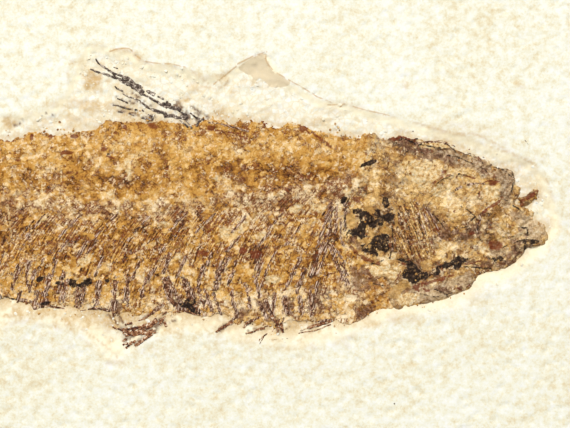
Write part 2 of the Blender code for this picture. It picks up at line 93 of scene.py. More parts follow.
HOLLOW_RIM = [
    (51.8, -0.5), (51.5, 1.8), (50.6, 4.0), (49.9, 6.2), (48.8, 7.9), (47.4, 8.8), (45.1, 9.6), (42.4, 10.5),
    (40.1, 11.8), (36.0, 12.6), (32.9, 13.5), (30.1, 14.4), (27.0, 15.1), (24.6, 16.0), (21.8, 16.2),
    (20.1, 17.1), (17.5, 18.5), (16.2, 20.2), (14.8, 21.9), (13.0, 21.5), (11.5, 20.8), (9.2, 19.4),
    (7.0, 19.1), (5.1, 20.0), (2.9, 20.4), (-0.4, 21.0), (-2.1, 22.1), (-3.2, 22.4), (-5.5, 23.0), (-7.8, 22.8),
    (-9.0, 21.0), (-10.2, 18.0), (-12.2, 15.5), (-16.0, 14.5), (-19.8, 14.0), (-25.6, 12.4), (-30.6, 11.0),
    (-34.4, 10.8), (-39.4, 12.6), (-45.0, 15.8), (-51.2, 17.6), (-55.6, 16.3), (-53.8, 10.6), (-49.4, 5.8),
    (-48.2, 2.8), (-49.8, -1.2), (-53.6, -6.2), (-56.0, -11.0), (-51.9, -12.2), (-45.6, -9.3), (-40.0, -6.2),
    (-35.6, -4.6), (-31.2, -6.2), (-28.1, -8.2), (-24.4, -12.6), (-21.2, -14.8), (-18.6, -14.4), (-16.8, -12.0),
    (-12.2, -12.5), (-9.1, -13.4), (-6.8, -15.5), (-5.0, -17.2), (-3.0, -16.8), (-0.2, -14.8), (2.8, -13.8),
    (6.5, -13.5), (11.5, -14.8), (16.5, -15.5), (21.2, -15.2), (25.2, -14.0), (29.0, -12.8), (31.5, -11.8),
    (36.5, -11.0), (40.2, -9.8), (42.8, -7.8), (45.5, -7.0), (48.0, -5.2), (50.2, -3.0),
]

# ---------------------------------------------------------------- small helpers


def linear(hex_colour):
    """An sRGB hex colour as linear red, green, blue and alpha."""
    parts = [int(hex_colour[i : i + 2], 16) / 255 for i in (1, 3, 5)]
    return (*(p / 12.92 if p <= 0.04045 else ((p + 0.055) / 1.055) ** 2.4 for p in parts), 1.0)


def add(tree, kind, inputs=None, stops=(), **settings):
    """Adds a node. inputs gives each socket, by name or number, a value, an sRGB hex colour, a socket or a node.

    A node stands for its first output. stops are the (place, colour) steps of a colour ramp.
    """
    node = tree.nodes.new(kind if "Node" in kind else "ShaderNode" + kind)
    for name, value in settings.items():
        setattr(node, name, value)
    for k, (place, colour) in enumerate(stops):
        step = node.color_ramp.elements[k] if k < 2 else node.color_ramp.elements.new(1.0)
        step.position = place
        step.color = linear(colour)
    for name, value in (inputs or {}).items():
        if isinstance(value, bpy.types.Node):
            value = value.outputs[0]
        if isinstance(value, bpy.types.NodeSocket):
            tree.links.new(value, node.inputs[name])
        elif isinstance(value, str) and value.startswith("#"):
            node.inputs[name].default_value = linear(value)
        else:
            node.inputs[name].default_value = value
    return node


def smooth(value, low, high):
    """0 under low, 1 over high and a soft rise between them."""
    t = np.clip((value - low) / (high - low), 0.0, 1.0)
    return t * t * (3 - 2 * t)


def bent_line(points, steps, closed=False):
    """A smooth line through the points, as an array, with that many steps between two of them."""
    pts = np.array(points, dtype=float)
    if closed:
        pts = np.vstack([pts[-1], pts, pts[0], pts[1]])
    else:
        pts = np.vstack([2 * pts[0] - pts[1], pts, 2 * pts[-1] - pts[-2]])
    t = (np.arange(steps) / steps)[:, None]
    line = []
    for a, b, c, d in zip(pts, pts[1:], pts[2:], pts[3:]):
        line.append(0.5 * (2 * b + (c - a) * t + (2 * a - 5 * b + 4 * c - d) * t**2 + (3 * b - a - 3 * c + d) * t**3))
    line = np.vstack(line)
    return line if closed else np.vstack([line, pts[-2]])


def depth_inside(x, y, outline):
    """How far each point is inside a closed outline; less than 0 outside."""
    nearest = np.full(np.shape(x), np.inf)
    inside = np.zeros(np.shape(x), dtype=bool)
    for (ax, ay), (bx, by) in zip(outline, np.roll(outline, -1, axis=0)):
        dx, dy = bx - ax, by - ay
        t = np.clip(((x - ax) * dx + (y - ay) * dy) / max(dx * dx + dy * dy, 1e-12), 0, 1)
        nearest = np.minimum(nearest, np.hypot(x - ax - t * dx, y - ay - t * dy))
        if dy:
            inside ^= ((ay > y) != (by > y)) & (x < ax + dx * (y - ay) / dy)
    return np.where(inside, nearest, -nearest)


def lattice(i, j, seed):
    """A number from 0 to 1 for each point of a lattice, the same in each run."""
    n = i.astype(np.int64).astype(np.uint32) * np.uint32(374761393)
    n = n + j.astype(np.int64).astype(np.uint32) * np.uint32(668265263) + np.uint32(seed * 7919 + 1013)
    n = (n ^ (n >> np.uint32(13))) * np.uint32(1274126177)
    n = n ^ (n >> np.uint32(16))
    return n / 4294967295.0


def clouds(x, y, size, seed, octaves=1):
    """Soft random patches of that size in mm, from 0 to 1 with a middle of 0.5."""
    total, weight = 0.0, 0.0
    for k in range(octaves):
        turn = 0.7 + 1.9 * k + seed
        c, s = math.cos(turn), math.sin(turn)
        step = size / 2**k
        u, v = (c * x + s * y) / step, (c * y - s * x) / step
        i, j = np.floor(u), np.floor(v)
        f, g = u - i, v - j
        f, g = f * f * f * (f * (f * 6 - 15) + 10), g * g * g * (g * (g * 6 - 15) + 10)
        low = lattice(i, j, seed + k) * (1 - f) + lattice(i + 1, j, seed + k) * f
        high = lattice(i, j + 1, seed + k) * (1 - f) + lattice(i + 1, j + 1, seed + k) * f
        total = total + (low * (1 - g) + high * g) * 0.6**k
        weight += 0.6**k
    return total / weight


def flakes(x, y, size, seed):
    """Irregular flakes of that size in mm: a number from 0 to 1 for each flake, and how far a point is from its edge."""
    u, v = x / size, y / size
    i0, j0 = np.floor(u), np.floor(v)
    best, second, chosen = np.full(u.shape, 9.0), np.full(u.shape, 9.0), np.zeros(u.shape)
    for di in (-1, 0, 1):
        for dj in (-1, 0, 1):
            i, j = i0 + di, j0 + dj
            away = np.hypot(u - i - lattice(i, j, seed), v - j - lattice(i, j, seed + 1))
            closer = away < best
            second = np.where(closer, best, np.minimum(second, away))
            chosen = np.where(closer, lattice(i, j, seed + 2), chosen)
            best = np.where(closer, away, best)
    return chosen, second - best


def patches(x, y, spots, ragged, seed, soft=0.2):
    """1 inside the oval spots (x, y, half length, half width, turn in degrees), with ragged edges."""
    torn = ragged * (clouds(x, y, 0.9, seed, 4) - 0.5)
    shown = np.zeros(np.shape(x))
    for cx, cy, long, wide, turn in spots:
        c, s = math.cos(math.radians(turn)), math.sin(math.radians(turn))
        u, v = (c * (x - cx) + s * (y - cy)) / long, (c * (y - cy) - s * (x - cx)) / wide
        shown = np.maximum(shown, smooth(1 - np.hypot(u, v) + torn, 0, soft))
    return shown


def torn_shapes(x, y, outlines, ragged, seed, soft=0.12):
    """1 inside closed outlines whose edges are torn by that many mm."""
    torn = ragged * (clouds(x, y, 0.55, seed, 3) - 0.5) * 2
    shown = np.zeros(np.shape(x))
    for outline in outlines:
        shown = np.maximum(shown, smooth(depth_inside(x, y, np.array(outline)) + torn, -soft, soft))
    return shown


def strokes(x, y, lines, ragged, seed, wider=1.0):
    """1 along thin lines, each (half width, *points)."""
    torn = 1 + ragged * (clouds(x, y, 0.5, seed, 3) - 0.5)
    shown = np.zeros(np.shape(x))
    for half, *points in lines:
        for (ax, ay), (bx, by) in zip(points, points[1:]):
            dx, dy = bx - ax, by - ay
            t = np.clip(((x - ax) * dx + (y - ay) * dy) / max(dx * dx + dy * dy, 1e-9), 0, 1)
            away = np.hypot(x - ax - t * dx, y - ay - t * dy)
            shown = np.maximum(shown, 1 - smooth(away / (half * wider * torn), 0.6, 1.4))
    return shown


# ---------------------------------------------------------------- the fields that all pieces share

RIM = bent_line(HOLLOW_RIM, 3, closed=True)
BACK_LINE = bent_line(BACK, 3)
BELLY_LINE = bent_line(BELLY, 3)
FLANK = np.vstack([BACK_LINE, np.array(TAIL_BASE), BELLY_LINE, np.array(SHOULDER)])
HEADS = {
    "skull": bent_line(SKULL, 3, closed=True),
    "gill_cover": bent_line(GILL_COVER, 3, closed=True),
    "lower_jaw": bent_line(LOWER_JAW, 3, closed=True),
    "loose_snout_bone": bent_line(LOOSE_BONE, 3, closed=True),
}


def hollow(x, y):
    """0 on the untouched bed, 1 on the scraped floor round the fish. The bank is crisp over the back."""
    depth = depth_inside(x, y, RIM)
    torn = depth + 0.7 * (clouds(x, y, 1.5, 11, 4) - 0.5)
    bank = 1.5 + 2.5 * smooth(-y, -2.0, 8.0)
    return smooth(torn / bank, 0.0, 1.0)


def stone_height(x, y):
    """Height of the stone's top face in mm."""
    wave = 0.28 * (clouds(x, y, 26.0, 3, 2) - 0.5)
    lumps = 0.16 * (clouds(x, y, 1.3, 21, 3) - 0.5) + 0.06 * (clouds(x, y, 0.45, 25, 2) - 0.5)
    pits = -0.12 * smooth(clouds(x, y, 0.8, 31, 2), 0.68, 0.8)
    crumb, edge = flakes(x + 0.4 * clouds(x, y, 0.7, 33, 2), y, 0.8, 35)
    crumbs = 0.16 * (crumb - 0.5) - 0.10 * (1 - smooth(edge, 0.0, 0.3))
    sunk = hollow(x, y)
    return SLAB_TOP + wave * (1 - sunk) + lumps * (1 + 0.5 * sunk) + pits + crumbs * sunk - HOLLOW_DEPTH * sunk


def backbone_y(x):
    return 3.0 + 0.004 * np.maximum(x, 0) ** 2


def centra(x, y):
    """1 on the body of each vertebra and 0 in the joints between them; the row is crushed and gappy."""
    pitch = (BACKBONE_FRONT - BACKBONE_REAR) / VERTEBRAE
    count = (x - BACKBONE_REAR) / pitch - 0.2 + 0.25 * (clouds(x, y, 0.9, 37, 2) - 0.5)
    number = np.floor(count)
    half_high = 0.50 + 0.25 * lattice(number, number * 0, 39)
    shake = 0.5 * (lattice(number, number * 0 + 1, 39) - 0.5)
    wide = 1 - smooth(np.abs(count - number - 0.5), 0.26, 0.42)
    high = 1 - smooth(np.abs(y - backbone_y(x) - shake), half_high - 0.15, half_high + 0.15)
    kept = np.maximum(smooth(lattice(number, number * 0 + 2, 39), 0.2, 0.8), smooth(x, 10.0, 12.0))
    return wide * high * kept * smooth(clouds(x, y, 0.5, 38, 2), 0.22, 0.42)


def bone_number(x, y):
    """A count that is the same all along one rib or spine: the crushed bones lean back from the backbone."""
    below = backbone_y(x) - y
    lower = np.where(below > 0, 1.15 * below / (1 + 0.085 * below), 0.0)
    upper = np.where(below <= 0, 1.35 * -below, 0.0)
    return x + lower + upper, below


# Stains and residue on the fish, each (x, y, half length, half width, turn), in mm
WASHES = [
    (15.5, 7.1, 6.9, 0.9, -3, 0.22), (-11.0, 6.2, 7.8, 0.9, 0, 0.1), (-7.5, 8.5, 1.8, 1.1, 15, 0.16),
    (-4.1, 8.5, 1.1, 0.6, 0, 0.15), (1.5, 8.5, 1.4, 1.6, 30, 0.12), (9.6, 7.6, 1.5, 0.9, 0, 0.2),
    (-4.8, 6.2, 4.8, 0.6, -21, 0.15), (-15.8, 7.9, 1.3, 1.3, 0, 0.08), (-13.5, 9.8, 1.5, 1.0, 0, 0.06),
    (2.8, 3.2, 25.0, 1.7, 2, -0.14), (-11.0, -1.8, 8.8, 1.8, 0, 0.14), (0.2, -1.5, 5.6, 1.8, 0, 0.06),
    (5.9, -2.8, 3.5, 1.0, 10, 0.14), (14.2, -3.0, 3.5, 1.8, 0, 0.14), (13.4, -3.5, 1.1, 1.0, 0, 0.25),
    (20.5, -4.2, 1.5, 3.3, -12, 0.14), (22.8, -0.9, 1.5, 3.1, 5, 0.12), (-17.0, -6.9, 1.9, 1.5, 0, -0.05),
    (-12.9, -9.0, 2.8, 0.9, 10, 0.15), (-6.6, -9.0, 3.8, 1.1, 0, -0.08), (4.6, -9.4, 2.0, 1.5, -30, 0.28),
    (0.2, -9.0, 1.8, 1.3, 0, -0.06), (12.8, -9.0, 4.4, 1.5, 0, -0.08), (27.2, -10.4, 1.4, 0.9, 10, 0.18),
    (-13.5, -6.2, 0.8, 0.6, 0, 0.3), (35.2, 10.0, 5.0, 0.9, -12, 0.18), (33.0, 11.0, 2.3, 0.9, 0, 0.15),
    (42.8, 6.6, 2.0, 1.0, -35, 0.15), (44.6, 5.4, 1.1, 2.3, 0, 0.12), (38.0, 0.0, 3.3, 1.5, -25, 0.12),
    (32.8, -0.9, 2.3, 3.5, 10, 0.12), (-1.0, 9.8, 7.5, 1.8, 0, -0.06), (17.8, 10.0, 6.3, 1.5, 0, -0.05),
    (30.9, 7.2, 3.8, 1.8, 0, -0.02), (24.6, -7.1, 1.8, 1.5, 0, 0.06), (39.8, 4.1, 4.5, 2.8, 0, -0.14),
    (48.0, 0.1, 2.3, 1.5, 0, -0.16), (36.5, -8.4, 4.5, 1.1, 8, -0.14), (46.0, -3.1, 1.5, 1.3, 0, -0.02),
    (34.6, 7.0, 2.5, 1.5, 0, -0.1), (32.1, 9.8, 2.8, 1.0, -10, 0.05),
    (8.0, -3.4, 7.0, 0.9, 4, 0.1), (-6.0, -4.6, 5.0, 1.0, -5, 0.06),
    (17.5, 3.9, 8.0, 1.4, 3, 0.13), (22.4, -2.6, 2.2, 5.0, 0, 0.05), (18.0, -7.6, 9.5, 3.0, 0, 0.07),
    (-4.0, -8.2, 9.0, 1.6, 0, 0.04),
    (40.9, 1.6, 1.8, 1.2, 0, 0.08), (37.2, -5.0, 2.4, 1.0, 10, 0.12), (30.0, -5.9, 1.6, 1.0, 0, 0.06),
]
RIBS = [
    (0.27, (0.8, -5.0), (-0.2, -6.5), (-0.8, -8.5)), (0.36, (-4.1, -6.5), (-4.2, -8.6), (-4.4, -11.0)),
    (0.22, (-2.5, -6.4), (-2.6, -9.6)), (0.2, (2.8, -3.2), (2.0, -5.5)),
    (0.33, (2.0, -6.4), (2.8, -8.8), (3.8, -10.0)), (0.21, (2.5, -6.2), (3.4, -8.0), (4.1, -9.4)),
    (0.39, (4.5, -6.4), (5.2, -8.5), (6.2, -10.5)), (0.19, (7.0, -4.5), (6.4, -6.4)),
    (0.36, (9.9, -3.8), (9.0, -5.5), (8.4, -7.5)), (0.23, (8.0, -3.2), (7.1, -5.0), (6.6, -6.0)),
    (0.16, (14.0, -3.2), (13.2, -6.0)), (0.14, (15.9, -3.0), (14.9, -5.2), (13.9, -7.8)),
    (0.26, (18.9, -4.0), (18.0, -5.8), (17.5, -7.2)), (0.3, (17.1, -8.8), (17.5, -10.5)),
    (0.26, (18.9, -8.8), (19.2, -10.6)), (0.25, (20.2, -8.1), (20.5, -10.9)), (0.2, (14.8, -9.2), (15.8, -11.5)),
    (0.2, (13.9, -9.4), (14.8, -11.2)), (0.17, (22.9, 3.1), (22.2, 0.8), (21.1, -2.4)),
    (0.15, (23.6, 2.8), (23.5, -0.5)), (0.16, (23.1, 2.5), (22.6, -0.5), (22.1, -2.8)),
    (0.17, (22.2, -1.0), (21.4, -3.4), (20.4, -5.8)), (0.14, (22.6, -1.5), (21.8, -4.2), (21.0, -6.0)),
    (0.16, (22.6, -2.0), (23.4, -4.2), (24.4, -6.5)), (0.15, (23.0, -2.2), (23.8, -4.5), (24.8, -7.0)),
    (0.12, (24.1, 1.4), (24.1, -1.5), (24.5, -2.2)), (0.26, (-16.0, -5.0), (-17.0, -7.5)),
    (0.3, (-12.2, -6.0), (-12.8, -8.0), (-13.2, -9.8)), (0.27, (-10.2, -6.5), (-10.8, -9.0)),
    (0.25, (-8.0, -7.2), (-8.5, -9.5)), (0.27, (-6.1, -6.9), (-6.5, -9.4)), (0.22, (-14.1, -5.5), (-14.9, -7.8)),
    (0.16, (-1.0, -4.2), (-2.0, -6.5)), (0.2, (11.0, -4.2), (10.1, -7.0)), (0.2, (12.1, -7.0), (12.8, -9.8)),
    (0.2, (10.4, -8.0), (11.0, -10.5)), (0.18, (8.2, -8.2), (9.1, -10.8)), (0.2, (7.1, -7.8), (8.1, -10.5)),
    (0.12, (24.4, -4.2), (25.1, -7.0)), (0.2, (19.6, -5.2), (18.6, -8.0)), (0.18, (21.2, -6.8), (20.8, -9.8)),
    (0.14, (-17.9, -2.8), (-19.2, -6.0)), (0.12, (15.2, -0.5), (13.8, -2.2)), (0.12, (12.2, 1.5), (10.5, -0.5)),
    (0.12, (8.4, 1.8), (6.0, -0.5)), (0.12, (5.0, 2.0), (2.5, -0.5)), (0.12, (0.2, 1.5), (-2.5, -1.5)),
    (0.12, (-3.8, 1.8), (-6.5, -1.0)), (0.12, (-8.5, 1.5), (-11.0, -1.0)), (0.12, (16.8, 1.8), (15.0, -0.2)),
    (0.12, (19.0, 0.2), (17.2, -2.2)), (0.12, (-12.8, 1.8), (-15.2, -1.0)), (0.12, (11.5, -1.0), (9.8, -3.0)),
    (0.12, (3.5, -1.0), (1.5, -3.0)), (0.12, (-6.2, -1.5), (-8.2, -3.8)),
    (0.08, (7.6, 13.2), (9.2, 13.0), (11.0, 12.5), (12.5, 12.1)), (0.18, (24.5, 3.5), (24.8, 2.0), (24.6, -0.2)),
    (0.15, (-13.0, -3.8), (-13.8, -5.5)), (0.16, (-11.5, -4.2), (-12.2, -6.5)),
    (0.15, (-16.0, -4.2), (-17.0, -6.0)), (0.15, (-7.5, -1.8), (-8.8, -3.5)), (0.14, (-10.0, -1.5), (-11.2, -3.2)),
    (0.14, (-14.8, -1.0), (-16.0, -2.8)), (0.18, (24.0, -4.2), (25.0, -6.0)), (0.15, (23.5, -2.8), (24.5, -4.2)),
    (0.22, (-16.0, -7.9), (-16.4, -9.4)), (0.2, (-14.8, -4.2), (-15.2, -6.2), (-14.9, -7.6)),
    (0.22, (-13.9, -8.0), (-14.2, -10.1)), (0.24, (-10.5, -5.5), (-11.2, -8.2)),
    (0.2, (-8.8, -7.4), (-9.0, -10.0)), (0.2, (-2.6, -6.6), (-2.9, -9.4)),
    (0.24, (2.4, -6.6), (2.9, -8.8), (4.8, -10.4), (6.8, -11.0)), (0.22, (6.8, -5.0), (6.2, -7.4), (7.1, -10.1)),
    (0.2, (14.2, -4.2), (13.5, -6.6), (14.0, -8.6)), (0.2, (15.9, -8.2), (15.5, -10.6)),
    (0.16, (-5.5, -3.5), (-6.6, -5.9)), (0.16, (4.8, -3.5), (3.6, -6.2)),
]
LOOSE_STREAKS = [
    (0.13, (22.6, -11.5), (20.8, -12.0), (18.9, -13.0)), (0.1, (22.1, -12.1), (20.2, -12.6)),
    (0.15, (11.1, -11.1), (9.9, -12.0), (8.5, -13.1)), (0.16, (13.8, -11.2), (12.0, -12.2)),
    (0.08, (15.0, -12.2), (12.6, -13.5)), (0.06, (17.5, -13.8), (15.5, -14.0), (14.2, -13.6)),
    (0.08, (14.5, -13.6), (13.8, -14.8)), (0.15, (16.5, -11.4), (15.5, -13.0)), (0.12, (17.0, -11.2), (16.2, -13.2)),
    (0.16, (1.8, -9.6), (0.2, -11.0)), (0.15, (-4.8, -10.4), (-6.5, -10.1), (-8.5, -10.4)),
    (0.15, (-10.5, -10.1), (-13.5, -9.6), (-16.2, -8.9)), (0.11, (33.4, 10.6), (36.5, 10.9), (38.4, 10.2)),
    (0.11, (39.9, 9.5), (42.1, 8.8)), (0.1, (47.1, 11.0), (47.6, 10.3)), (0.12, (30.9, -1.0), (30.5, -2.8)),
    (0.14, (41.5, 1.6), (41.0, -0.5)), (0.11, (38.4, 4.8), (40.2, 5.5), (42.0, 5.5)),
    (0.12, (34.5, 2.8), (35.8, 1.0), (36.6, -1.5)), (0.1, (33.4, 3.5), (34.5, 1.8), (35.2, 0.0)),
    (0.11, (33.8, 1.8), (34.8, -1.0)),
]
BLACK_FILM = [
    (-13.4, -6.4, 0.6, 0.33, 10), (-11.0, -6.9, 0.6, 0.3, -8), (27.8, 8.2, 1.4, 0.28, 22),
    (-5.0, 9.2, 0.28, 0.2, 0), (-12.9, -9.4, 0.9, 0.25, 15), (-17.5, -8.9, 1.1, 0.2, -10),
    (24.5, 3.5, 0.31, 0.5, -40), (12.9, -12.1, 0.38, 0.2, -20),
]
CHARRED = [
    [
        (25.5, 2.4), (26.6, 2.5), (27.4, 2.1), (28.0, 1.6), (28.5, 1.0), (28.6, 0.2), (28.1, -0.2), (27.4, 0.2),
        (27.2, -0.5), (27.4, -1.0), (26.6, -1.4), (26.1, -1.0), (25.4, -0.9), (25.0, -0.6), (25.5, -0.1),
        (26.1, 0.2), (26.5, 0.8), (26.4, 1.5), (25.8, 1.8),
    ],
    [
        (28.0, -1.1), (28.9, -0.8), (29.8, -0.8), (30.1, -1.2), (30.1, -2.5), (29.8, -3.2), (29.1, -3.0),
        (28.8, -3.5), (28.1, -3.6), (27.2, -3.1), (26.6, -2.6), (26.6, -2.1), (27.2, -1.9), (27.8, -2.1),
        (27.9, -1.5),
    ],
    [(29.5, 3.8), (30.0, 3.8), (30.2, 3.0), (30.1, 2.4), (29.5, 2.4), (29.4, 3.0)],
    [
        (28.2, 2.2), (28.9, 2.4), (29.1, 2.0), (29.1, 1.4), (29.6, 1.6), (30.2, 1.9), (30.9, 1.8), (30.9, 1.4),
        (30.6, 0.9), (30.2, 0.5), (29.9, 1.0), (29.5, 0.9), (29.4, 0.2), (28.8, 0.2), (28.4, 0.8), (28.9, 1.1),
        (28.4, 1.6),
    ],
    [
        (31.1, -3.9), (31.9, -3.8), (32.5, -4.1), (33.2, -4.2), (33.6, -4.6), (33.8, -5.1), (34.1, -5.4),
        (34.9, -5.5), (35.5, -5.8), (36.0, -5.5), (36.2, -5.2), (36.6, -5.5), (36.1, -6.0), (35.2, -6.1),
        (34.2, -6.4), (33.8, -6.8), (33.1, -7.0), (32.6, -6.8), (32.1, -6.2), (31.6, -5.9), (31.9, -5.4),
        (32.2, -5.0), (32.1, -4.5), (31.5, -4.2),
    ],
    [
        (35.8, -4.8), (36.6, -4.4), (37.4, -4.2), (38.0, -4.0), (38.5, -3.5), (39.1, -3.4), (39.5, -3.8),
        (40.0, -3.9), (40.0, -4.1), (39.4, -4.4), (39.1, -4.9), (38.6, -5.2), (38.2, -5.0), (38.1, -4.6),
        (37.6, -4.9), (37.0, -5.1), (36.5, -5.5), (36.0, -5.4),
    ],
    [
        (46.6, -1.2), (47.8, -1.4), (48.9, -1.6), (48.6, -1.9), (47.5, -1.9), (47.4, -2.4), (47.0, -2.8),
        (46.8, -2.1),
    ],
    [(42.5, -3.6), (43.2, -3.5), (44.0, -3.4), (44.5, -3.8), (44.1, -4.1), (43.1, -4.1)],
    [
        (-10.0, -6.6), (-9.5, -6.4), (-9.0, -6.6), (-8.8, -7.0), (-8.0, -6.6), (-7.2, -6.1), (-6.9, -6.5),
        (-7.0, -7.0), (-7.8, -7.2), (-8.5, -7.4), (-9.2, -7.4), (-9.8, -7.1),
    ],
    [(-5.5, -6.4), (-5.0, -6.2), (-4.8, -6.6), (-5.2, -7.0)],
    [
        (4.8, -9.0), (5.4, -8.5), (6.0, -8.8), (6.2, -9.8), (6.5, -10.8), (6.1, -11.2), (5.5, -10.5), (4.9, -10.1),
        (4.0, -9.8), (3.5, -9.2), (4.2, -9.4),
    ],
]
DUSKY = [
    [(46.4, 0.0), (47.2, 0.1), (47.5, -0.5), (47.4, -1.2), (47.1, -1.2), (47.1, -0.4), (46.5, -0.4)],
    [
        (45.1, -1.2), (45.9, -1.1), (46.5, -1.4), (46.6, -1.9), (46.4, -2.2), (46.0, -2.5), (45.6, -1.9),
        (45.2, -1.8),
    ],
    [
        (35.0, 2.8), (36.0, 2.0), (37.2, 0.8), (38.0, -0.4), (39.0, -0.1), (39.8, -0.2), (41.2, 0.8), (41.5, -1.0),
        (40.2, -1.5), (38.8, -1.2), (38.0, -1.9), (36.8, -1.5), (35.8, -0.2), (35.2, 1.2),
    ],
    [
        (45.1, -3.0), (45.9, -2.8), (46.5, -2.4), (47.1, -2.5), (46.9, -3.6), (46.1, -4.1), (45.4, -4.2),
        (45.0, -3.8),
    ],
    [
        (31.5, 11.5), (33.0, 11.6), (33.6, 11.1), (34.0, 10.1), (35.2, 9.8), (35.0, 9.2), (33.4, 9.5), (32.1, 9.8),
        (31.5, 10.2),
    ],
    [(33.5, 9.4), (35.2, 9.2), (37.1, 9.4), (38.5, 8.8), (38.0, 8.0), (36.5, 8.5), (35.0, 8.4), (33.5, 8.5)],
    [(25.2, -1.0), (26.4, -1.5), (26.8, -2.4), (27.2, -3.0), (26.5, -3.0), (25.5, -2.1)],
    [(25.2, -5.0), (27.2, -4.8), (28.0, -6.0), (29.0, -6.8), (28.0, -7.8), (26.5, -8.0), (25.5, -7.0)],
    [(26.0, -10.0), (27.0, -9.8), (28.1, -10.2), (28.0, -11.2), (27.0, -11.5), (26.1, -11.0)],
    [(31.8, -8.1), (32.4, -7.6), (33.1, -7.2), (33.5, -7.5), (33.0, -8.0), (32.2, -8.1)],
    [(30.8, -7.0), (31.2, -6.1), (31.9, -5.8), (31.8, -6.2), (31.2, -6.8)],
    [(35.8, -7.5), (37.2, -7.2), (38.8, -6.8), (39.5, -7.5), (38.2, -8.0), (36.5, -8.2)],
    [(40.5, 9.1), (41.5, 8.9), (42.1, 8.2), (41.5, 8.2)],
    [(41.6, 7.5), (42.5, 7.5), (42.6, 6.6), (42.0, 6.6)],
    [(33.8, 10.0), (35.1, 9.9), (35.2, 9.5), (34.0, 9.5)],
    [
        (2.2, -7.1), (3.0, -7.8), (3.5, -8.8), (4.5, -9.0), (5.2, -8.0), (5.0, -7.0), (5.8, -7.8), (6.5, -9.0),
        (6.8, -11.2), (6.0, -11.5), (4.8, -10.4), (3.2, -10.0), (2.5, -8.8),
    ],
    [(-9.2, -7.5), (-8.0, -7.2), (-7.8, -10.0), (-8.8, -10.2), (-9.5, -9.0)],
    [(-4.8, -9.0), (-3.2, -9.2), (-3.0, -11.2), (-4.5, -11.5)],
    [(13.4, -9.0), (14.8, -8.8), (15.8, -10.8), (16.2, -11.8), (15.0, -11.8), (14.0, -10.5)],
    [(11.2, -9.8), (12.8, -10.2), (12.8, -11.5), (11.5, -12.0), (10.8, -11.0)],
    [(20.2, -7.2), (22.8, -7.8), (23.2, -9.8), (21.5, -10.2), (20.5, -9.0)],
    [(17.0, -8.8), (18.2, -8.5), (18.5, -10.8), (17.2, -11.0)],
    [(46.6, 3.4), (47.4, 4.2), (48.6, 4.9), (49.0, 4.6), (48.4, 3.8), (47.8, 2.8), (46.6, 2.6)],
    [(39.6, -3.8), (40.9, -4.1), (42.4, -3.8), (44.4, -4.2), (45.6, -3.8), (45.8, -4.5), (44.4, -5.2), (42.4, -4.8), (40.8, -5.0), (39.6, -4.5)],
]
OCHRE = [
    [(24.8, 1.5), (25.1, 1.9), (25.8, 1.5), (26.2, 1.1), (26.1, 0.4), (25.6, -0.1), (25.1, 0.0), (24.8, 0.8)],
    [(26.6, -1.5), (27.2, -1.1), (27.6, -1.2), (27.6, -1.9), (26.8, -2.0)],
    [(29.0, -0.2), (29.8, 0.1), (30.5, -0.1), (30.4, -0.8), (29.6, -0.5), (29.1, -0.5)],
    [
        (29.9, -8.2), (30.9, -7.2), (31.5, -6.6), (32.2, -6.5), (32.8, -7.0), (32.1, -7.6), (31.6, -8.2),
        (31.1, -8.9), (30.2, -8.8),
    ],
    [(34.0, -4.2), (35.0, -3.9), (35.6, -4.4), (35.2, -5.4), (34.2, -5.2)],
    [(27.0, 3.0), (27.9, 2.6), (28.5, 2.0), (28.0, 1.8), (27.2, 2.2)],
    [(30.6, 2.8), (31.2, 2.5), (31.2, 0.2), (30.8, 0.0), (31.0, 1.5)],
]
